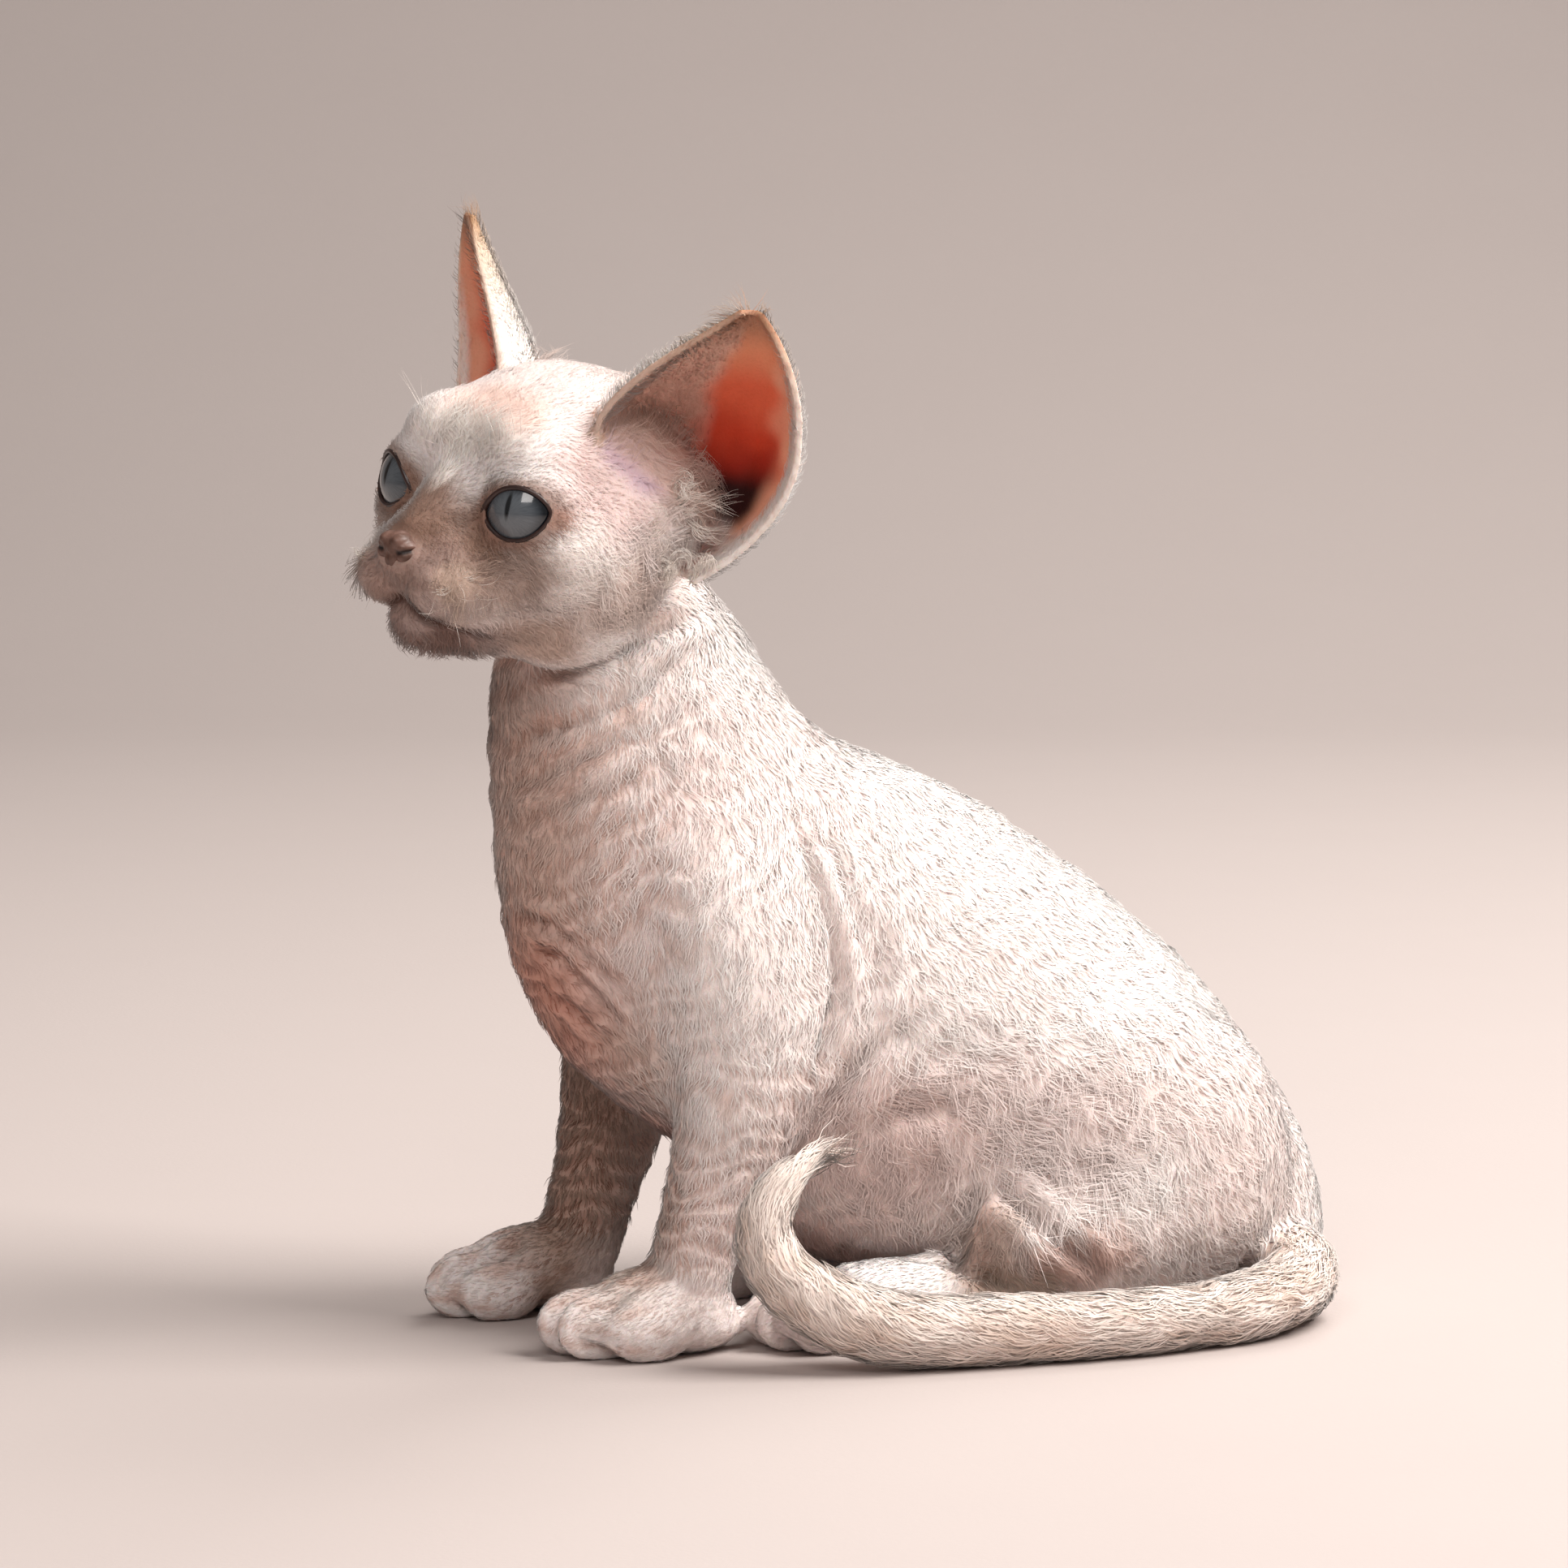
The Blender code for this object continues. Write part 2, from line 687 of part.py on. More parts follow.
def make_body(kitten, tail, head_outside):
    """The neck, trunk, legs and paws, parted from each other, the tail and the head."""
    large = [
        profile_loft("trunk", BODY_SECTIONS),
        ellipsoid((-32, 0, 78), (23, 23, 27), (0, 15, 0)),
        limb_loft("left", FORELEG_SECTIONS, -1),
        limb_loft("right", FORELEG_SECTIONS, 1, RIGHT_LEG_AHEAD, RIGHT_LEG_ASIDE),
    ]
    large += haunch(-1) + haunch(1)
    body = fused("trunk", large, 2.0, 16, kitten)
    small = forepaw(-1) + forepaw(1, RIGHT_PAW_AHEAD, RIGHT_LEG_ASIDE) + foot(-1) + foot(1)
    dense = fused("torso", [body, *small], BODY_VOXEL, 3, kitten)
    feet = mesh_object("feet", dense.data.copy(), kitten)
    feet = reduced(combined(feet, slab((0, 0, 0), (0, 0, 1), 200, 70), "INTERSECT"), FEET_TRIANGLES)
    body = reduced(dense, BODY_TRIANGLES)
    body = combined(body, grown(tail, GAP), "DIFFERENCE")
    rest = combined(body, head_outside, "DIFFERENCE")
    made = []
    for side, name in ((-1, "left"), (1, "right")):
        ahead = RIGHT_LEG_AHEAD if side > 0 else 0.0
        toes = [(x - ahead, z) for x, z in FOREPAW_OUTLINE]
        outline = [(x - ahead, z) for x, z in FORELEG_OUTLINE]
        rest, paw = taken(rest, feet, "forepaw_" + name, toes, side, FOREPAW_INNER)
        rest, leg = taken(rest, rest, "foreleg_" + name, outline, side, FORELEG_INNER)
        rest, thigh = taken(rest, rest, "hindleg_" + name, HAUNCH_OUTLINE, side, HAUNCH_INNER)
        rest, sole = taken(rest, feet, "hindpaw_" + name, FOOT_OUTLINE, side, FOOT_INNER)
        made += [paw, leg, thigh, sole]
    bpy.data.objects.remove(feet)
    rest = combined(rest, slab(*NECK_PLANE, 60), "DIFFERENCE")
    made += parted(rest, ("torso", "neck"))
    return made


def finish(objects):
    """Sets every body on one floor level, centres them and gives the colours."""
    made = []
    for one in objects:
        if min(v.co.z for v in one.data.vertices) < FLOOR * MM:
            bpy.ops.mesh.primitive_cube_add(size=1)
            under = bpy.context.active_object
            under.data.transform(Matrix.Diagonal((0.6, 0.6, 0.05, 1)))
            under.data.transform(Matrix.Translation((0, 0, FLOOR * MM - 0.025)))
            one = largest_body(combined(one, under, "DIFFERENCE"))
        made.append(one)
    corners = np.array([v.co for one in made for v in one.data.vertices])
    low, high = corners.min(0), corners.max(0)
    shift = Matrix.Translation((-(low[0] + high[0]) / 2, -(low[1] + high[1]) / 2, -low[2]))
    for one in made:
        one.data.transform(shift)
        kind = one.name.split("_")[0]
        kind = kind if kind in COLOURS else "coat"
        colour, roughness = COLOURS[kind]
        paint = bpy.data.materials.new(one.name)
        paint.use_nodes = True
        shader = paint.node_tree.nodes["Principled BSDF"]
        shader.inputs["Base Color"].default_value = (*colour, 1)
        shader.inputs["Roughness"].default_value = roughness
        paint.diffuse_color = (*colour, 1)
        one.data.materials.clear()
        one.data.materials.append(paint)


def build():
    """Makes the kitten."""
    clear_scene()
    kitten = new_collection("kitten")
    tail = make_tail()
    head_parts, head_outside = make_head(kitten)
    body_parts = make_body(kitten, tail, head_outside)
    for point, way in TAIL_PLANES:
        tail = combined(tail, slab(point, way, 14), "DIFFERENCE")
    tail_parts = parted(tail, ("tail_base", "tail_middle", "tail_tip"))
    finish([*head_parts, *body_parts, *tail_parts])


build()
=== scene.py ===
"""Looks of a life-size still Devon Rex kitten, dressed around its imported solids.

The kitten faces -X and its left side is towards -Y. The code works in millimetres in the
kitten's own place, which is the part's place before the part was centred on its box.
Head forms use the frame of the head: X forward, Y to the kitten's left, Z up.
"""

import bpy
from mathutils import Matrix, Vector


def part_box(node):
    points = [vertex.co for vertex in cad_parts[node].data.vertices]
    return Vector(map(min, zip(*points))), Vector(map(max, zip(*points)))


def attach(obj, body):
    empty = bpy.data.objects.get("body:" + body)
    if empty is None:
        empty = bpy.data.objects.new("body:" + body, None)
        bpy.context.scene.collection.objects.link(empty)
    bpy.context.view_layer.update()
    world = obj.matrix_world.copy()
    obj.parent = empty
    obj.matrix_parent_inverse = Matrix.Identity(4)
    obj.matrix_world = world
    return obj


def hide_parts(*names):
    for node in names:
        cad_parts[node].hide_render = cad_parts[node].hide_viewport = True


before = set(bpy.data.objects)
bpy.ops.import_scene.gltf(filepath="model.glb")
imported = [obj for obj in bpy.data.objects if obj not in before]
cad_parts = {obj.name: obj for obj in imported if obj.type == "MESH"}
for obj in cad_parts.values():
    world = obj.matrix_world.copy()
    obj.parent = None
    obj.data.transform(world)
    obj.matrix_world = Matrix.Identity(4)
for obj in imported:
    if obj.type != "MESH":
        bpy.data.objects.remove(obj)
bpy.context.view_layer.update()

import logging
import math
from dataclasses import dataclass, field
from enum import Enum
from typing import Any

import bmesh
import bpy
import numpy as np
from mathutils import Matrix, Vector
from mathutils.bvhtree import BVHTree
from mathutils.kdtree import KDTree

LOG = logging.getLogger("kitten")
MM = 0.001
SEED = 11
SIDES = (1.0, -1.0)
EVEN_STEPS = (0.55, -0.57)
FAR = 99.0
ROOT = "root"
BAKE_MAP = "OFBake"
BALL_SIDES = 24

Array = np.ndarray
Triple = tuple[float, float, float]
Strands = list[tuple[Array, float]]


class Zone(Enum):
    """The parts of the body that the coat and the colours tell apart."""

    HEAD = 0
    EAR = 1
    NECK = 2
    TRUNK = 3
    FORELEG = 4
    FOREPAW = 5
    HINDLEG = 6
    HINDPAW = 7
    TAIL = 8


ZONE_PARTS = {
    Zone.HEAD: ("head",),
    Zone.EAR: ("ear_left", "ear_right"),
    Zone.NECK: ("neck",),
    Zone.TRUNK: ("torso",),
    Zone.FORELEG: ("foreleg_left", "foreleg_right"),
    Zone.FOREPAW: ("forepaw_left", "forepaw_right"),
    Zone.HINDLEG: ("hindleg_left", "hindleg_right"),
    Zone.HINDPAW: ("hindpaw_left", "hindpaw_right"),
    Zone.TAIL: ("tail_base", "tail_middle", "tail_tip"),
}
ZONE_NODES = {node: zone for zone, nodes in ZONE_PARTS.items() for node in nodes}


def on(zone: Array, *kinds: Zone) -> Array:
    """Which of some zone numbers are of the given kinds."""
    return np.isin(zone, [kind.value for kind in kinds])


def side_of(head: Array) -> Array:
    """1 for each place on the left of the head and -1 on its right."""
    return np.where(head[:, 1] > 0, 1.0, -1.0)


def mirror(side: float) -> Array:
    """What turns a place of the left side (1) into one of the given side."""
    return np.array([1.0, side, 1.0])


def unit(rows: Array) -> Array:
    """Rows of vectors at length one."""
    return rows / np.maximum(np.linalg.norm(rows, axis=-1, keepdims=True), 1e-9)


def ease(low: float, high: float, values: Array) -> Array:
    """A smooth step from 0 at low to 1 at high; high may be below low."""
    share = np.clip((values - low) / (high - low), 0.0, 1.0)
    return share * share * (3.0 - 2.0 * share)


def mixed(first: Array, second: Array, share: Array) -> Array:
    """Colours or vectors of two arrays, mixed row by row."""
    share = np.asarray(share)[..., None]
    return first * (1.0 - share) + second * share


def grain(points: Array, size: float, seed: int = 0) -> Array:
    """Smooth noise over space.

    Args:
        points: Rows of places in millimetres.
        size: The distance in millimetres over which the noise changes.
        seed: Chooses another noise of the same kind.

    Returns:
        One value from -1 to 1 for each row.
    """
    at = np.asarray(points, float) / size + 37.7 * seed
    cell = np.floor(at)
    part = at - cell
    part = part * part * (3.0 - 2.0 * part)
    total = np.zeros(len(at))
    for corner in np.ndindex(2, 2, 2):
        spot = cell + np.array(corner)
        wave = np.sin(spot @ np.array([127.1, 311.7, 74.7]) + seed * 19.19) * 43758.5453
        value = (wave - np.floor(wave)) * 2.0 - 1.0
        weight = np.prod(np.where(np.array(corner) == 1, part, 1.0 - part), axis=1)
        total += value * weight
    return total


def near_path(points: Array, path: Array) -> tuple[Array, Array]:
    """How far points lie from a path of straight runs.

    Args:
        points: Rows of places.
        path: Rows of the path's corners.

    Returns:
        The distance of each point, and how far along the path its nearest place is, 0 to 1.
    """
    best = np.full(len(points), 1e9)
    along = np.zeros(len(points))
    runs = np.linalg.norm(np.diff(path, axis=0), axis=1)
    starts = np.concatenate([[0.0], np.cumsum(runs)])
    for start, end, offset, run in zip(path, path[1:], starts, runs):
        way = (end - start) / max(run, 1e-9)
        reach = np.clip((points - start) @ way, 0.0, run)
        far = np.linalg.norm(points - start - reach[:, None] * way, axis=1)
        closer = far < best
        best = np.where(closer, far, best)
        along = np.where(closer, (offset + reach) / starts[-1], along)
    return best, along


def paint(text: str) -> Array:
    """A colour for shaders from six hex digits."""
    values = np.array([int(text[i : i + 2], 16) for i in (0, 2, 4)]) / 255.0
    return np.where(values <= 0.04045, values / 12.92, ((values + 0.055) / 1.055) ** 2.4)


@dataclass(frozen=True)
class Place:
    """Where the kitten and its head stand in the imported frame."""

    head_centre: Triple = (-54.7, -7.7, 178.5)
    head_turn: float = 25.0
    head_tilt: float = 8.0
    eye: Triple = (16.6, 15.8, -1.0)

    def turned(self) -> Array:
        """The turn of the head as three rows."""
        turn = Matrix.Rotation(math.radians(180 + self.head_turn), 3, "Z")
        return np.array(turn @ Matrix.Rotation(math.radians(-self.head_tilt), 3, "X"))

    def shift(self) -> Array:
        """How far the part was moved when it was centred, read from its left eye."""
        low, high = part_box("eye_left")
        seen = (np.array(low) + np.array(high)) / (2 * MM)
        return seen - self.from_head(np.array([self.eye]))[0]

    def from_head(self, points: Array) -> Array:
        """Places of the head's frame in the kitten's."""
        return np.asarray(points, float) @ self.turned().T + np.array(self.head_centre)

    def to_head(self, points: Array) -> Array:
        """Places of the kitten in the head's frame."""
        return (np.asarray(points, float) - np.array(self.head_centre)) @ self.turned()

    def metres(self, points: Array) -> Array:
        """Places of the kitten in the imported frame, in metres."""
        return (np.asarray(points, float) + SHIFT) * MM


PLACE = Place()
SHIFT = PLACE.shift()


@dataclass
class Net:
    """A surface as arrays, with what its points need to know of each other."""

    points: Array
    faces: Array
    edges: Array = field(default_factory=lambda: np.zeros((0, 2), int))

    @staticmethod
    def read(mesh: bpy.types.Mesh) -> "Net":
        """The triangles of a mesh in metres, as a net in the kitten's millimetres."""
        points = np.empty(len(mesh.vertices) * 3, np.float32)
        mesh.vertices.foreach_get("co", points)
        mesh.calc_loop_triangles()
        faces = np.empty(len(mesh.loop_triangles) * 3, np.int32)
        mesh.loop_triangles.foreach_get("vertices", faces)
        edges = np.empty(len(mesh.edges) * 2, np.int32)
        mesh.edges.foreach_get("vertices", edges)
        moved = points.reshape(-1, 3).astype(float) / MM - SHIFT
        return Net(moved, faces.reshape(-1, 3), edges.reshape(-1, 2))

    def normals(self) -> Array:
        """The outward direction at each point."""
        a, b, c = (self.points[self.faces[:, i]] for i in range(3))
        across = np.cross(b - a, c - a)
        total = np.zeros_like(self.points)
        for i, axis in np.ndindex(3, 3):
            total[:, axis] += np.bincount(self.faces[:, i], across[:, axis], len(self.points))
        return unit(total)

    def averaged(self, values: Array) -> Array:
        """Each point's values as the mean of its neighbours'."""
        first, second = self.edges.T
        size = len(self.points)
        count = np.bincount(first, minlength=size) + np.bincount(second, minlength=size)
        out = np.empty_like(values)
        for axis in range(values.shape[1]):
            column = values[:, axis]
            out[:, axis] = np.bincount(first, column[second], size)
            out[:, axis] += np.bincount(second, column[first], size)
        return out / np.maximum(count, 1)[:, None]

    def relax(self, rounds: int, share: Array | float = 1.0) -> None:
        """Evens the surface out and keeps its volume.

        Args:
            rounds: How many times the points move.
            share: How much of the move each point takes.
        """
        share = np.broadcast_to(np.asarray(share, float), len(self.points))[:, None]
        for _ in range(rounds):
            for step in EVEN_STEPS:
                self.points += step * share * (self.averaged(self.points) - self.points)

    def mesh(self, name: str) -> bpy.types.Mesh:
        """The net as a smooth mesh in metres."""
        return shaped(name, PLACE.metres(self.points), self.faces)


def shaped(name: str, points: Array, faces: Array, normals: Array | None = None) -> bpy.types.Mesh:
    """A smooth mesh from arrays.

    Args:
        name: The name of the mesh.
        points: Rows of places in metres.
        faces: Rows of corner numbers, all with the same count.
        normals: The shading direction at each point, if it isn't the surface's own.

    Returns:
        The new mesh.
    """
    sides = faces.shape[1]
    mesh = bpy.data.meshes.new(name)
    mesh.vertices.add(len(points))
    mesh.vertices.foreach_set("co", np.asarray(points, np.float32).ravel())
    mesh.loops.add(faces.size)
    mesh.loops.foreach_set("vertex_index", faces.astype(np.int32).ravel())
    mesh.polygons.add(len(faces))
    mesh.polygons.foreach_set("loop_start", np.arange(0, faces.size, sides, dtype=np.int32))
    mesh.update(calc_edges=True)
    mesh.polygons.foreach_set("use_smooth", np.ones(len(faces), bool))
    if normals is not None:
        mesh.normals_split_custom_set_from_vertices(np.asarray(normals, np.float32))
    return mesh


def placed(name: str, data: bpy.types.ID) -> bpy.types.Object:
    """An object for a mesh, a light or a camera, at the origin of the scene."""
    obj = bpy.data.objects.new(name, data)
    bpy.context.scene.collection.objects.link(obj)
    return obj


def settled(obj: bpy.types.Object) -> bpy.types.Object:
    """The object with its modifiers made part of its mesh."""
    bpy.context.view_layer.update()
    graph = bpy.context.evaluated_depsgraph_get()
    mesh = bpy.data.meshes.new_from_object(obj.evaluated_get(graph))
    old = obj.data
    obj.modifiers.clear()
    obj.data = mesh
    mesh.name = obj.name
    bpy.data.meshes.remove(old)
    return obj


def fused(net: Net, voxel: float) -> Net:
    """Closed surfaces that cross, remeshed as one with voxels of some millimetres."""
    obj = placed("fused", net.mesh("fused"))
    remesh = obj.modifiers.new("Fuse", "REMESH")
    remesh.mode = "VOXEL"
    remesh.voxel_size = voxel * MM
    joined = Net.read(settled(obj).data)
    bpy.data.objects.remove(obj)
    return joined


def store(mesh: bpy.types.Mesh, name: str, values: Array) -> None:
    """Keeps a colour, or one number, for each point of a mesh."""
    values = np.asarray(values, np.float32)
    if values.ndim == 1:
        kept = mesh.attributes.new(name, "FLOAT", "POINT")
        kept.data.foreach_set("value", values)
        return
    full = np.ones((len(values), 4), np.float32)
    full[:, :3] = values
    kept = mesh.attributes.new(name, "FLOAT_COLOR", "POINT")
    kept.data.foreach_set("color", full.ravel())


def mark_map(mesh: bpy.types.Mesh, name: str, corners: Array) -> None:
    """Gives a mesh a UV map, with one place for each corner of a face."""
    layer = mesh.uv_layers.new(name=name, do_init=False)
    layer.uv.foreach_set("vector", np.asarray(corners, np.float32).ravel())


# Shader maths.


class Wire:
    """A shader value that takes part in Python sums."""

    def __init__(self, tree: bpy.types.NodeTree, socket: bpy.types.NodeSocket) -> None:
        """Holds the socket that gives the value."""
        self.tree = tree
        self.socket = socket

    def _sum(self, kind: str, first: Any, second: Any = 0.0, clamp: bool = False) -> "Wire":
        """A Math node on two values."""
        node = self.tree.nodes.new("ShaderNodeMath")
        node.operation = kind
        node.use_clamp = clamp
        for socket, value in zip(node.inputs, (first, second)):
            if isinstance(value, Wire):
                self.tree.links.new(value.socket, socket)
            else:
                socket.default_value = value
        return Wire(self.tree, node.outputs[0])

    def __add__(self, other: Any) -> "Wire":
        """self + other."""
        return self._sum("ADD", self, other)

    __radd__ = __add__

    def __mul__(self, other: Any) -> "Wire":
        """self * other."""
        return self._sum("MULTIPLY", self, other)

    __rmul__ = __mul__

    def __sub__(self, other: Any) -> "Wire":
        """self - other."""
        return self._sum("SUBTRACT", self, other)

    def __rsub__(self, other: Any) -> "Wire":
        """other - self."""
        return self._sum("SUBTRACT", other, self)

    def __truediv__(self, other: Any) -> "Wire":
        """self / other."""
        return self._sum("DIVIDE", self, other)

    def __pow__(self, other: Any) -> "Wire":
        """self to a power."""
        return self._sum("POWER", self, other)

    def clamped(self) -> "Wire":
        """The value kept between 0 and 1."""
        return self._sum("ADD", self, 0.0, clamp=True)

    def angle(self, other: Any) -> "Wire":
        """The angle whose tangent is self / other."""
        return self._sum("ARCTAN2", self, other)


class Recipe:
    """A material under construction."""

    def __init__(self, name: str) -> None:
        """Starts a material with one Principled shader."""
        self.material = bpy.data.materials.new(name)
        self.material.use_nodes = True
        self.tree = self.material.node_tree
        self.shader = self.tree.nodes["Principled BSDF"]

    def node(
        self, kind: str, settings: dict[str, Any] | None = None, out: int | str = 0, **inputs: Any
    ) -> Wire:
        """Adds a node.

        Args:
            kind: The node's type, without its ShaderNode start.
            settings: Its own settings, which are made first.
            out: Which output is wanted.
            **inputs: Values or links of its sockets, with _ for a space in their names.

        Returns:
            The wanted output.
        """
        node = self.tree.nodes.new("ShaderNode" + kind)
        for key, value in (settings or {}).items():
            setattr(node, key, value)
        for key, value in inputs.items():
            self.plug(self._socket(node, key), value)
        return Wire(self.tree, node.outputs[out])

    @staticmethod
    def _socket(node: bpy.types.Node, key: str) -> bpy.types.NodeSocket:
        """An enabled input of a node by its name, with _ for a space."""
        name = key.replace("_", " ")
        return next(one for one in node.inputs if one.name == name and one.enabled)

    def plug(self, socket: bpy.types.NodeSocket, value: Any) -> None:
        """Links or sets one socket."""
        if isinstance(value, Wire):
            self.tree.links.new(value.socket, socket)
        elif isinstance(value, np.ndarray) and len(socket.default_value) == 4:
            socket.default_value = (*value, 1.0)
        else:
            socket.default_value = value

    def finish(self, **inputs: Any) -> bpy.types.Material:
        """Sets the shader's sockets and gives the material."""
        for key, value in inputs.items():
            self.plug(self._socket(self.shader, key), value)
        return self.material

    def where(self) -> Wire:
        """The place on the object, in metres."""
        return self.node("TexCoord", out="Object")

    def kept(self, name: str, value: bool = False) -> Wire:
        """A colour that the mesh keeps for its points, or a number."""
        out = "Fac" if value else "Color"
        return self.node("Attribute", {"attribute_name": name}, out=out)

    def noise(self, size: float, detail: float, **inputs: float) -> Wire:
        """Noise whose lumps are about size millimetres."""
        scale = 1.0 / (size * MM)
        return self.node("TexNoise", Vector=self.where(), Scale=scale, Detail=detail, **inputs)

    def blend(self, share: Any, first: Any, second: Any, kind: str = "MIX") -> Wire:
        """Two colours, mixed."""
        settings = {"data_type": "RGBA", "blend_type": kind, "clamp_result": True}
        return self.node("Mix", settings, out=2, Factor=share, A=first, B=second)

    def raised(self, height: Wire, strength: float, distance: float) -> Wire:
        """A bump from a height, at a distance in millimetres."""
        return self.node("Bump", Height=height, Strength=strength, Distance=distance * MM)


@dataclass(frozen=True)
class HideFinish:
    """The skin under the coat: velvety where fur lies flat, finely creased where it is bare."""

    rough: float = 0.66
    hair: float = 0.8

    def make(self) -> bpy.types.Material:
        """Builds the material."""
        r = Recipe("hide")
        base = r.kept("coat")
        blotch = r.noise(7.0, 4.0)
        fine = r.noise(0.55, 2.0)
        shade = r.blend(((blotch - 0.5) * 0.4).clamped(), base, paint("dfc8c0"), "MULTIPLY")
        shade = r.blend(((fine - 0.5) * 0.6).clamped(), shade, paint("c3a89c"), "MULTIPLY")
        streak = r.noise(0.9, 3.0, Distortion=1.6)
        height = streak * 0.6 + fine * 0.4
        return r.finish(
            Base_Color=shade,
            Roughness=self.rough + (fine - 0.5) * 0.12,
            # Painted glow: the ears' emission stands in for light shining through them.
            Emission_Color=r.kept("glow"),
            Emission_Strength=1.0,
            Normal=r.raised(height, self.hair, 0.2),
            Specular_IOR_Level=0.3,
            Subsurface_Weight=0.15,
            Subsurface_Scale=0.004,
            Subsurface_Radius=(1.0, 0.35, 0.2),
        )


@dataclass(frozen=True)
class FurFinish:
    """The tufts: the marking's colour, a little darker at the root as painted shade, and uneven
    between tufts.
    """

    rough: float = 0.72
    sheen: float = 0.35

    def make(self) -> bpy.types.Material:
        """Builds the material."""
        r = Recipe("fur")
        base = r.kept("coat")
        tone = r.kept("tone", value=True)
        streak = r.noise(0.35, 2.0)
        # Painted shade: a low tone darkens the tufts towards their roots, and the tone also differs
        # at random between tufts.
        depth = (1.0 - tone) * 0.6 + (streak - 0.5) * 0.3
        shade = r.blend(depth.clamped(), base, paint("e2ccc1"), "MULTIPLY")
        return r.finish(
            Base_Color=shade,
            Roughness=self.rough + (streak - 0.5) * 0.15,
            Specular_IOR_Level=0.15,
            Sheen_Weight=self.sheen,
            Sheen_Roughness=0.5,
        )


@dataclass(frozen=True)
class IrisFinish:
    """A blue grey iris with a slit pupil under a clear wet front, with painted shade at its top and
    painted light at its bottom.
    """

    pale: str = "70757a"
    mid: str = "353c43"
    rim: str = "151a21"
    pupil: str = "0a0c0f"
    slit_up: float = 0.15
    slit_wide: float = 0.052
    slit_tall: float = 0.25

    def make(self) -> bpy.types.Material:
        """Builds the material."""
        r = Recipe("iris")
        at = r.node("UVMap", {"uv_map": "Iris"})
        across, up = (r.node("SeparateXYZ", out=i, Vector=at) for i in (0, 1))
        away = (across * across + up * up) ** 0.5
        turn = up.angle(across)
        rays = r.node("CombineXYZ", X=turn * 9.0, Y=away * 2.2)
        fibre = r.node("TexNoise", Vector=rays, Scale=1.7, Detail=4.0, Roughness=0.65)
        cloud = r.node("TexNoise", Vector=at, Scale=3.0, Detail=2.0)
        bright = (1.0 - away * 1.25).clamped() * 0.65 + (fibre - 0.5) * 0.9
        # The last term makes the iris lighter towards the bottom and darker towards the top: painted
        # shade under the upper lid and painted light in the lower half.
        bright = bright + (cloud - 0.5) * 0.35 + (0.12 - up * 0.28)
        shade = r.blend(bright.clamped(), paint(self.mid), paint(self.pale))
        edge = ((away - 0.34) / 0.32).clamped()
        shade = r.blend(edge * edge, shade, paint(self.rim))
        black = ((away - 0.78) / 0.06).clamped()
        shade = r.blend(black, shade, paint("15110f"))
        along = (up - self.slit_up) / self.slit_tall
        beside = across / self.slit_wide
        slit = (beside * beside + along * along) ** 0.5
        soft = ((1.3 - slit) / 0.6).clamped()
        shade = r.blend(soft, shade, paint(self.pupil))
        return r.finish(
            Base_Color=shade,
            Roughness=0.12 + fibre * 0.06,
            Coat_Weight=1.0,
            Coat_Roughness=0.02,
            Coat_IOR=1.45,
            Specular_IOR_Level=0.4,
        )


@dataclass(frozen=True)
class SkinFinish:
    """Bare damp skin, as on the rims of the lids and the nose, with painted shade in the nostrils."""

    name: str
    dark: str
    light: str
    rough: float
    grain: float
    lumps: float = 0.35
    coat: float = 0.0

    def make(self) -> bpy.types.Material:
        """Builds the material."""
        r = Recipe(self.name)
        cells = r.node(
            "TexVoronoi", {"feature": "SMOOTH_F1"}, Vector=r.where(), Scale=1 / (self.lumps * MM)
        )
        cloud = r.noise(2.2, 3.0)
        shade = r.blend(((cloud - 0.3) * 1.6).clamped(), paint(self.dark), paint(self.light))
        # The kept "depth" darkens the nostrils towards near black: painted shade in their hollows.
        shade = r.blend(r.kept("depth", value=True), shade, paint("1d0f0c"))
        return r.finish(
            Base_Color=shade,
            Roughness=self.rough + (cells - 0.5) * 0.15,
            Normal=r.raised(cells, self.grain, 0.06),
            Coat_Weight=self.coat,
            Coat_Roughness=0.2,
            Specular_IOR_Level=0.45,
        )


@dataclass(frozen=True)
class HairFinish:
    """Whiskers, the long pale hairs of the brow, and the curls."""

    tip: str = "fbf7f2"
    root: str = "e9dbcf"

    def make(self) -> bpy.types.Material:
        """Builds the material."""
        r = Recipe("whisker")
        band = r.noise(1.5, 1.0)
        shade = r.blend(band, paint(self.root), paint(self.tip))
        return r.finish(Base_Color=shade, Roughness=0.38, Specular_IOR_Level=0.5)


@dataclass(frozen=True)
class StageFinish:
    """The plain pale floor and wall."""

    colour: str = "b9aeaa"

    def make(self) -> bpy.types.Material:
        """Builds the material."""
        r = Recipe("stage")
        cloud = r.noise(60.0, 3.0)
        shade = r.blend(cloud * 0.15, paint(self.colour), paint("aca09c"))
        return r.finish(
            Base_Color=shade,
            Roughness=0.85 + (cloud - 0.5) * 0.1,
            Normal=r.raised(r.noise(1.2, 2.0), 0.25, 0.2),
        )


# The kitten's own forms.


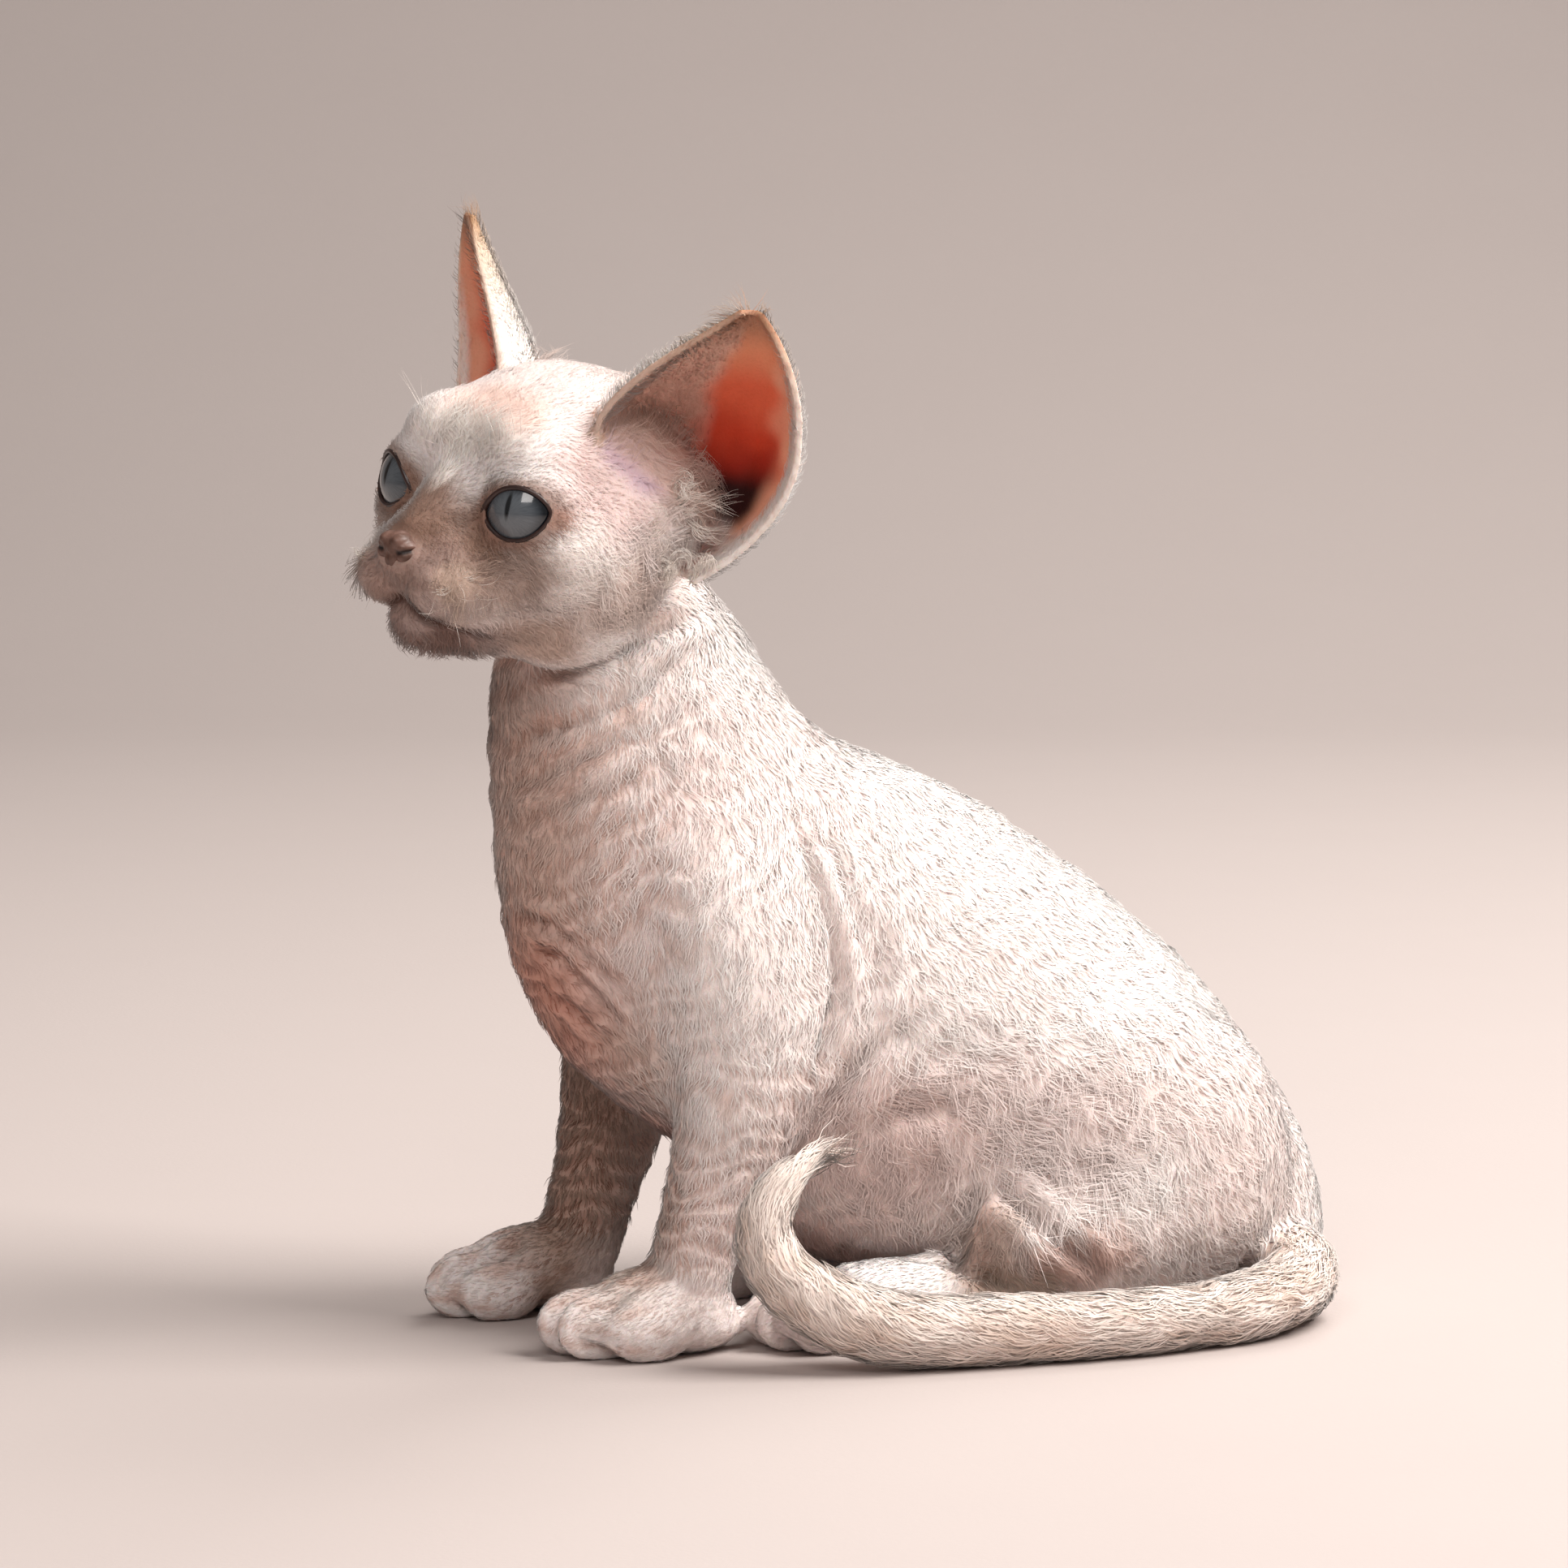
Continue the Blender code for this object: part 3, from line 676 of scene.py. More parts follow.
@dataclass(frozen=True)
class EarForm:
    """Where an ear opens, in the frame of the head."""

    turn: float = 45.0
    sections: tuple[tuple[float, ...], ...] = (
        (-14, 26.5, 5, 17, 9),
        (-8, 28, 11, 18.5, 15),
        (1, 29.4, 16.8, 20, 18.5),
        (12, 29.4, 20, 21, 19.5),
        (21, 29, 20.2, 21.5, 18.5),
        (29, 30.4, 17.4, 22.6, 14.8),
        (37, 32.4, 12.6, 23.8, 9.8),
        (44, 34.4, 7, 24.6, 5.6),
        (50, 35.4, 1.6, 25.2, 2),
    )
    left_lowered: float = 0.87
    left_lean: float = 0.06
    right_forward: float = 15.0
    right_depth: float = 0.62
    right_back: float = 3.8
    pivot: tuple[float, float] = (29.4, 7.2)
    least: float = 2.0

    def opened(self, side: Array) -> Array:
        """How far each cup turns outwards, in radians, for the left (1) or right (-1) ear."""
        return np.radians(self.turn - np.where(np.asarray(side) > 0, 0.0, self.right_forward))

    def axes(self, side: float) -> tuple[Array, Array]:
        """The way the cup opens and the way across it, for the left (1) or right (-1) ear."""
        turn = float(self.opened(side))
        facing = np.array([math.cos(turn), side * math.sin(turn), 0.0])
        across = np.array([-math.sin(turn), side * math.cos(turn), 0.0])
        return facing, across

    def openness(self, normals: Array, side: Array) -> Array:
        """How squarely each direction looks out of its ear's cup."""
        turn = self.opened(side)
        return normals[:, 0] * np.cos(turn) + normals[:, 1] * side * np.sin(turn)

    def read(self, head: Array, side: Array) -> tuple[Array, Array, Array]:
        """Where places lie on an ear.

        Args:
            head: Rows of places in the frame of the head.
            side: 1 on the left and -1 on the right, for each row.

        Returns:
            Height from 0 at the base to 1 at the tip, place across from -1 at the front rim to
            1 at the rear rim, and depth into the cup from 0 at the rim to 1 at its bottom.
        """
        rows = np.array(self.sections)
        left = side > 0
        height = np.where((head[:, 2] > 0) & left, head[:, 2] / self.left_lowered, head[:, 2])
        middle, half, front, deep = (np.interp(height, rows[:, 0], rows[:, i]) for i in range(1, 5))
        middle = middle + np.where(left, self.left_lean, 0.0) * np.maximum(height, 0)
        front = front - np.where(left, 0.0, self.right_back)
        deep = deep * np.where(left, 1.0, self.right_depth)
        base, turn = math.radians(self.turn), self.opened(side)
        out, ahead = self.pivot
        x = head[:, 0] + math.sin(base) * out - math.cos(base) * ahead
        y = head[:, 1] * side - math.cos(base) * out - math.sin(base) * ahead
        facing = x * np.cos(turn) + y * np.sin(turn) + ahead
        across = -x * np.sin(turn) + y * np.cos(turn) + out
        return (
            (height - rows[0, 0]) / (rows[-1, 0] - rows[0, 0]),
            (across - middle) / np.maximum(half, self.least),
            (front - facing) / np.maximum(deep, self.least),
        )

    def base(self, head: Array, side: Array) -> Array:
        """How far the head's own places lie inside the cup of an ear, from 0 to 1."""
        tall, across, deep = self.read(head, side)
        inside = ease(-0.05, 0.2, deep) * ease(1.1, 0.9, deep) * ease(1.05, 0.85, np.abs(across))
        return inside * ease(0.12, 0.28, tall)


EAR = EarForm()

TAIL_LINE = np.array(
    [
        (93, -5, 13), (104, -20, 11.5), (101, -40, 9.8), (87, -53, 8.2), (66, -58.5, 7.4),
        (44, -59.5, 7.6), (24, -58.5, 8.0), (8, -57, 8.6), (-5, -54.5, 11.5), (-15, -52, 17),
        (-21.5, -50, 25), (-21.5, -49, 33), (-17.5, -48.5, 39.5), (-12.5, -48, 43), (-8, -48, 44.5),
    ],
    float,
)


@dataclass(frozen=True)
class Fold:
    """A crease in the skin along a path, with the swelling that it leaves beside it."""

    path: tuple[Triple, ...]
    depth: float
    width: float
    swell: float = 0.5
    mirrored: bool = True

    def lift(self, points: Array) -> Array:
        """How far the crease moves each place outwards, in millimetres."""
        total = np.zeros(len(points))
        for side in SIDES if self.mirrored else (1.0,):
            path = np.array(self.path, float) * mirror(side)
            near = np.linalg.norm(points - path.mean(0), axis=1) < 90.0
            far, along = near_path(points[near], path)
            fade = ease(0.0, 0.25, along) * ease(1.0, 0.75, along)
            inside = np.exp(-((far / self.width) ** 2))
            beside = np.exp(-(((far - 2.1 * self.width) / (1.1 * self.width)) ** 2))
            total[near] += fade * (self.swell * beside - inside) * self.depth
        return total


# Folds of the body in the kitten's frame, given on its left side and mirrored: under the jaw,
# down the neck, behind the shoulder, across the chest and on the flank.
BODY_FOLDS = (
    Fold(
        (
            (-60.6, -8.6, 143), (-55.6, -16.2, 141.3), (-46.9, -19.7, 143.6), (-37.2, -22, 148),
            (-27.2, -18.5, 152), (-22.4, -13.8, 154.4),
        ),
        1.5, 1.5, 0.6,
    ),
    Fold(
        (
            (-62.7, -6.8, 128.8), (-56.3, -16.6, 128.7), (-47.6, -22, 133.1), (-37.7, -23.5, 138.7),
            (-28.2, -21.2, 145.6),
        ),
        1.2, 1.6,
    ),
    Fold(
        ((-63.7, -2.2, 117.4), (-58.9, -13.7, 119), (-50.7, -20.7, 124), (-39.8, -24.3, 130.6)),
        0.9, 1.7,
    ),
    Fold(
        ((-63, -4.3, 108.4), (-56.4, -16.5, 112.9), (-47.9, -22.4, 117.4), (-37, -24.5, 122)),
        0.7, 1.8,
    ),
    Fold(
        (
            (-9.8, -26.4, 113.7), (-6.8, -27.7, 108.7), (-3.4, -30.7, 97.2), (-0.4, -32.2, 85.5),
            (-0.3, -32.9, 75.5), (-3.4, -33.2, 63.9), (-6.2, -33.6, 55.7),
        ),
        1.9, 1.7,
    ),
    Fold(((-5.6, -26.9, 110.3), (0.8, -28.8, 101.8), (4.3, -31.3, 90.2), (5.1, -32.8, 78.6)), 1, 2),
    Fold(((5.5, -30.6, 93.4), (9.5, -32, 85), (8.2, -33.1, 73.4), (4.9, -32.4, 63.3)), 1.1, 2.2),
    Fold(
        ((-61.5, -1, 92), (-56, -14, 89), (-48, -19.5, 81), (-38, -21.5, 70)),
        1, 1.5, 0.7,
    ),
    Fold(
        ((-59.9, -5.3, 84.8), (-54.2, -14.8, 82.5), (-46.8, -18.7, 74.2), (-38.4, -19.6, 63.8)),
        1.2, 1.4, 0.7,
    ),
    Fold(((-57.8, -4, 76), (-51.8, -12.6, 71.9), (-44, -15.4, 63.5)), 1, 1.3, 0.7),
    Fold(((-4, -27.5, 46.1), (2, -30.7, 54.8), (6.7, -32.4, 61.5), (20.6, -33.4, 71.9)), 1.6, 2.6),
    Fold(((6.2, -29, 44), (14, -32.1, 49.2), (25.8, -34, 50.5)), 1.2, 2.4),
    Fold(((12, -32, 60), (22, -35, 62), (34, -38, 60)), 0.8, 3),
)

# The grooves that set the thigh, the knee, the shin and the foot apart.
LEG_FOLDS = (
    Fold(
        (
            (31.5, -34, 34.5), (34.8, -37.1, 32.5), (37.5, -42, 28.1), (43.8, -43.7, 23.7),
            (52.1, -43.6, 16.3), (56, -43, 11),
        ),
        2.6, 2, 0.45,
    ),
    Fold(
        ((26, -36, 12), (27.5, -30, 17.5), (28.5, -31, 27), (32.5, -34.4, 33)),
        2, 2.2, 0.3,
    ),
    Fold(
        ((13.7, -28.2, 17.7), (21.4, -31.8, 17.4), (29, -36.5, 15), (38, -40.5, 11)),
        1.6, 1.6, 0.3,
    ),
    Fold(((34, -40, 27), (35, -41.5, 22), (38, -42.5, 17.5)), 0.8, 1.4),
)

# Creases of the head in its own frame: four wrinkles above the left temple, then one below
# each cheek and one from each side of the bridge towards the cheek.
HEAD_FOLDS = (
    Fold(((22, 22, 17.5), (17.5, 25, 13), (14.5, 26.5, 8)), 0.6, 0.8, 0.7, False),
    Fold(((18.5, 21, 21), (13.5, 25, 17.5), (10.5, 27, 11)), 0.7, 0.8, 0.7, False),
    Fold(((14.5, 20, 24), (9.5, 25, 20), (7, 27.5, 14)), 0.7, 0.8, 0.7, False),
    Fold(((10.5, 19, 26), (6, 25, 22), (3.5, 28, 16)), 0.6, 0.8, 0.7, False),
    Fold(((27, 10.5, -24), (24, 15, -21), (21, 19, -16)), 0.7, 2),
    Fold(((31, 6, -1), (28.5, 10, -7.5), (28, 13.5, -10.5)), 0.6, 2, 0.4),
)


@dataclass(frozen=True)
class Paws:
    """The clefts between the toes of one pair of paws."""

    clefts: tuple[float, ...]
    back: float
    ahead: float = 0.0
    aside: float = 0.0
    depth: float = 1.5
    width: float = 1.0

    def lift(self, points: Array) -> Array:
        """How far the clefts move each place outwards, in millimetres."""
        total = np.zeros(len(points))
        for side, far_side in ((-1.0, 0.0), (1.0, 1.0)):
            start = self.back - self.ahead * far_side
            here = ease(start + 4.0, start - 5.0, points[:, 0])
            here *= ease(20.0, 14.0, points[:, 2])
            for cleft in self.clefts:
                off = np.abs(points[:, 1] - side * (cleft + self.aside * far_side))
                ridge = 0.22 * np.exp(-(((off - 2.9) / 1.3) ** 2))
                total += here * (ridge - np.exp(-((off / self.width) ** 2))) * self.depth
        return total


FOREPAWS = Paws((28.7, 22.6, 16.6), -38.0, ahead=11.0, aside=3.5)
HINDPAWS = Paws((34.5, 29.2, 23.8), 4.0)

RIPPLE_PITCH = 6.2
LEG_RIPPLE_PITCH = 5.0


def ripple(points: Array, zone: Array) -> Array:
    """The waves of a rex coat: crests at 1 and troughs at -1, in bands across its lie."""
    leg = on(zone, Zone.FORELEG, Zone.FOREPAW)
    bend = 5.0 * grain(points, 11.0, 41) + 1.5 * grain(points, 4.0, 42)
    down = np.where(leg, points[:, 2], 0.85 * points[:, 2] - 0.5 * points[:, 0])
    pitch = np.where(leg, LEG_RIPPLE_PITCH, RIPPLE_PITCH)
    strength = 0.65 + 0.35 * grain(points, 13.0, 43)
    return strength * np.sin(2 * math.pi * (down + bend) / pitch)


@dataclass(frozen=True)
class Marking:
    """A soft patch of one colour, round a centre with three reaches."""

    centre: Triple
    reach: Triple
    colour: str
    strength: float
    soft: float = 0.9
    both: bool = True

    def share(self, points: Array) -> Array:
        """How much of each place the patch takes."""
        total = np.zeros(len(points))
        for side in SIDES if self.both else (1.0,):
            centre = np.array(self.centre) * mirror(side)
            away = np.linalg.norm((points - centre) / np.array(self.reach), axis=1)
            total = np.maximum(total, ease(1.0 + self.soft / 2, 1.0 - self.soft / 2, away))
        return total * self.strength


def patch(centre: Triple, reach: Triple, soft: float = 0.9, both: bool = True) -> Marking:
    """A soft patch that is used for its share alone."""
    return Marking(centre, reach, "ffffff", 1.0, soft, both)


@dataclass(frozen=True)
class Markings:
    """The colours of the coat and of the skin under it, some with painted shade and painted light."""

    white: str = "fdfbf9"
    rosy: str = "f6e6e2"
    cream: str = "f7ece4"
    streak: str = "e0cabb"
    head: tuple[Marking, ...] = (
        Marking((8, 0, 26), (26, 32, 12), "e6d3ce", 0.75),
        Marking((8, 27, 8), (15, 9, 14), "efd4d0", 0.8, 0.8),
        Marking((21, 3, 18.5), (9, 16, 6.5), "efcdbf", 0.85, both=False),
        Marking((2, 24.5, 12), (5, 5, 4.2), "c0a2bd", 0.8),
        Marking((-4, 27.5, 8.5), (6.5, 6, 5.2), "a78cb4", 0.8),
        Marking((20.8, 25.6, 0), (3.4, 3.4, 2.4), "d39a85", 0.7),
        Marking((16, 18, -27), (10, 9, 7), "b3937f", 0.75),
        Marking((3, 28, -17), (12, 9, 9), "d9c1b4", 0.6),
        Marking((14, 26, -10), (9, 8, 9), "f6efea", 0.75, 0.8),
        Marking((34, 0, -13.5), (13, 17, 13), "93766a", 0.92, 0.8),
        Marking((25, 18.5, -12), (9.5, 8.5, 8.5), "9a7f70", 0.8),
        Marking((33, 0, -3), (8, 9, 9), "775a48", 0.92, 0.8),
        Marking((27.5, 12, -4), (6, 5, 7.5), "8c6b57", 0.9),
        Marking((27.5, 0, -28.5), (12.5, 13.5, 7), "5c392a", 0.9),
        Marking((34.5, 13, -15), (4.5, 4, 4.5), "bda593", 0.75),
        Marking((24.5, -1, 8), (7, 3.4, 8.5), "fdf6ef", 0.9, both=False),
        Marking((23, 1, 11.5), (6.5, 14, 4.5), "fff6ee", 0.85, both=False),
    )
    # The colour of the painted shade in the troughs of the waves.
    trough_shade: str = "cfa896"
    ear_base: str = "cfb3a4"
    wrinkle: str = "dba99c"
    temple: Marking = Marking((-2, 27.5, 9), (11, 8, 8), "ffffff", 0.8)
    chest: Marking = Marking((-55, 0, 69), (18, 22, 19), "ffffff", 0.5, 1.1)
    lid: str = "7a5a4a"
    lid_share: float = 0.8
    body: tuple[Marking, ...] = (
        # The first entry, on the throat and chest, is partly the coat's own brownish colour and
        # partly painted shade. The second, on the lower chest, is partly bare pink skin and partly
        # painted warm reflected light.
        Marking((-66, 0, 108), (25, 30, 46), "c3a596", 0.85),
        Marking((-55, 0, 69), (19, 23, 21), "b7745b", 0.82, 1.1),
        Marking((-25, 0, 46), (16, 12, 22), "a9654e", 0.7),
        Marking((6, 30, 42), (22, 16, 18), "dfc3bd", 0.55),
        Marking((34, 36, 45), (26, 14, 15), "e9d8d4", 0.4),
        Marking((-44, 22, 38), (13, 15, 30), "b39c8c", 0.75),
        Marking((-36, 26, 40), (18, 16, 34), "7f6452", 0.8, both=False),
        Marking((-49, 22, 8), (9, 8, 10), "93745f", 0.8, 0.8, False),
        Marking((29, 37, 22), (7, 8, 11), "b99a87", 0.7),
        Marking((48, 44, 18), (14, 6, 7), "cf9f8e", 0.7),
        Marking((36, 40, 12), (9, 8, 6), "a8937c", 0.7),
        Marking((62, 30, 4), (34, 18, 5), "c9b49f", 0.6),
        Marking((20, 0, 20), (34, 22, 14), "cf9f93", 0.65),
        Marking((0, 28, 17), (17, 12, 8), "fdfbfa", 0.9),
    )

    def ears(self, head: Array, normals: Array, side: Array) -> tuple[Array, Array, Array]:
        """Colour, painted glow and how much hair an ear has.

        Args:
            head: Rows of places in the frame of the head.
            normals: The outward direction of each, in the same frame.
            side: 1 on the left and -1 on the right.

        Returns:
            The colour of each place, with painted light and painted shade in the cup, the painted
            glow of light shining through the ear, and 1 where the cup has no hair.
        """
        tall, across, deep = EAR.read(head, side)
        open_way = EAR.openness(normals, side)
        inner = ease(-0.1, 0.2, open_way - 0.25 * np.abs(across)) * ease(-0.02, 0.12, deep)
        cloud = grain(head, 5.0, 3)
        spread = across + 0.12 * cloud
        high = tall + 0.04 * cloud
        tan = ease(0.14, -0.2, spread) * ease(0.2, 0.4, tall)
        lobe = ease(0.27, 0.19, tall + 0.1 * spread)
        # The cup runs from orange through red to near black, lower and deeper in. This is partly the
        # skin's own pink, partly painted light shining through the ear, and partly painted shade at
        # the bottom of the cup.
        colour = paint("dd9570")
        for shade, share in (
            ("d96a4a", ease(0.84, 0.66, high)),
            ("b93a22", ease(0.66, 0.48, high) * ease(0.2, 0.7, deep)),
            ("8a160d", ease(0.50, 0.38, high) * ease(0.3, 0.7, deep)),
            ("2a0504", ease(0.40, 0.27, high) * ease(0.3, 0.6, deep)),
            ("e2a688", ease(0.62, 0.95, spread)),
            ("d8b5a3", 0.9 * tan),
            ("a67a60", ease(0.82, 0.98, tall)),
            ("efdcd2", lobe),
        ):
            colour = mixed(colour, paint(shade), share)
        # Painted glow: a little red emission in the cup stands in for light shining through the ear.
        backlit = ease(0.0, 0.85, deep) * ease(0.95, 0.4, tall) * ease(0.3, 0.42, tall)
        glow = mixed(np.zeros(3), paint("c2431f"), 0.12 * backlit * inner * (1.0 - tan))
        outer = mixed(paint("fbf5f0"), paint("e2cbb4"), ease(0.6, 0.95, tall))
        outer = mixed(outer, paint("a9825f"), ease(0.86, 1.0, tall))
        furred = inner * (1.0 - 0.85 * tan) * (1.0 - 0.8 * lobe)
        edge = ease(0.22, 0.06, np.abs(deep)) * ease(0.1, -0.5, spread)
        shown = mixed(mixed(outer, colour, inner), paint("c4a28e"), 0.75 * edge)
        return shown, glow, furred

    def body_coat(self, points: Array, normals: Array, zone: Array, rosy: Array) -> Array:
        """The colour of the coat on the body, the legs and the tail, with painted shade in the
        troughs of its waves.
        """
        wander = 3.0 * grain(points, 9.0, 1)[:, None] * normals + 1.2 * grain(points, 2.5, 2)[:, None]
        coat = mixed(paint(self.white), paint(self.rosy), np.clip(rosy, 0, 1))
        for mark in self.body:
            coat = mixed(coat, paint(mark.colour), mark.share(points + wander))
        tail = on(zone, Zone.TAIL)
        far, along = near_path(points, TAIL_LINE)
        vein = grain(points * np.array([0.35, 1.0, 1.0]), 2.2, 5)
        tail_coat = mixed(paint(self.cream), paint(self.streak), 0.75 * ease(-0.3, 0.8, vein))
        coat = mixed(coat, tail_coat, tail * ease(0.0, 0.12, along) * ease(24.0, 12.0, far))
        front = ease(-20.0, -45.0, points[:, 0]) * (1.0 - tail)
        # Painted shade: the troughs of the waves are darkened, most on the front of the neck and
        # chest and on the forelegs, and faintly elsewhere.
        trough_shade = ease(0.1, -0.8, ripple(points, zone)) * (1.0 - 0.8 * tail)
        trough_shade = trough_shade * (0.08 + 0.5 * front + 0.3 * on(zone, Zone.FORELEG))
        return mixed(coat, coat * paint(self.trough_shade), trough_shade)

    def head_coat(self, head: Array, side: Array, rosy: Array) -> Array:
        """The colour of the coat on the head without the ears."""
        coat = mixed(paint(self.white), paint(self.rosy), np.clip(rosy + 0.15, 0, 1))
        wander = 1.6 * grain(head, 5.0, 6)[:, None]
        for mark in self.head:
            coat = mixed(coat, paint(mark.colour), mark.share(head + wander))
        coat = mixed(coat, paint(self.ear_base), 0.85 * EAR.base(head, side))
        for fold in HEAD_FOLDS[:4]:
            line, _ = near_path(head, np.array(fold.path))
            coat = mixed(coat, paint(self.wrinkle), 0.6 * ease(1.3, 0.4, line))
        return mixed(coat, paint(self.lid), self.lid_share * ease(1.62, 1.12, EYES.away(head)))

    def read(self, points: Array, normals: Array, zone: Array) -> dict[str, Array]:
        """The markings at some places of the skin.

        Args:
            points: Rows of places of the kitten.
            normals: The outward direction of each.
            zone: The number of each one's zone.

        Returns:
            Arrays "coat" and "glow" with colours, "glow" being the painted glow of light through the
            ears, and "bare" with 1 where no hair grows.
        """
        head = PLACE.to_head(points)
        side = side_of(head)
        rosy = 0.35 + 0.35 * grain(points, 16.0, 4)
        rosy = rosy * (1.0 - 0.8 * ease(0.0, 20.0, points[:, 0]) * ease(52.0, 70.0, points[:, 2]))
        coat = self.body_coat(points, normals, zone, rosy)
        in_head, ear = on(zone, Zone.HEAD, Zone.EAR), on(zone, Zone.EAR)
        reach = ease(-52.0, -38.0, head[:, 2])
        head_coat = mixed(coat, self.head_coat(head, side, rosy), reach)
        coat = np.where(in_head[:, None], head_coat, coat)
        ear_coat, glow, inner = self.ears(head, normals @ PLACE.turned(), side)
        coat = np.where(ear[:, None], ear_coat, coat)
        glow = np.where(ear[:, None], glow, 0.0)
        bare = np.where(ear, inner, 0.0)
        bare = np.maximum(bare, np.where(in_head & ~ear, self.temple.share(head), 0.0))
        bare = np.maximum(bare, np.where(in_head, 0.0, self.chest.share(points)))
        return {"coat": coat, "glow": glow, "bare": bare}


MARKINGS = Markings()


@dataclass(frozen=True)
class Growth:
    """How the coat grows in one zone: lengths in millimetres and tufts to a square millimetre."""

    depth: float
    length: float
    width: float
    lift: float
    density: float
    wave: float
    rings: int


GROWTHS = {
    Zone.HEAD: Growth(0.5, 2.6, 0.25, 0.27, 2.2, 0.12, 2),
    Zone.EAR: Growth(0.45, 2.2, 0.25, 0.24, 1.6, 0.10, 2),
    Zone.NECK: Growth(0.8, 3.7, 0.33, 0.17, 1.9, 0.13, 2),
    Zone.TRUNK: Growth(1.0, 4.3, 0.37, 0.15, 1.2, 0.14, 2),
    Zone.FORELEG: Growth(0.8, 3.5, 0.33, 0.19, 1.6, 0.13, 2),
    Zone.FOREPAW: Growth(0.4, 2.0, 0.28, 0.18, 2.1, 0.06, 2),
    Zone.HINDLEG: Growth(1.0, 5.0, 0.37, 0.17, 1.25, 0.16, 2),
    Zone.HINDPAW: Growth(0.4, 2.0, 0.28, 0.18, 1.8, 0.06, 2),
    Zone.TAIL: Growth(1.2, 7.6, 0.42, 0.13, 1.05, 0.10, 3),
}


def by_zone(zone: Array, key: str) -> Array:
    """One size of the coat for each zone number."""
    table = np.array([getattr(GROWTHS[one], key) for one in Zone], float)
    return table[zone]


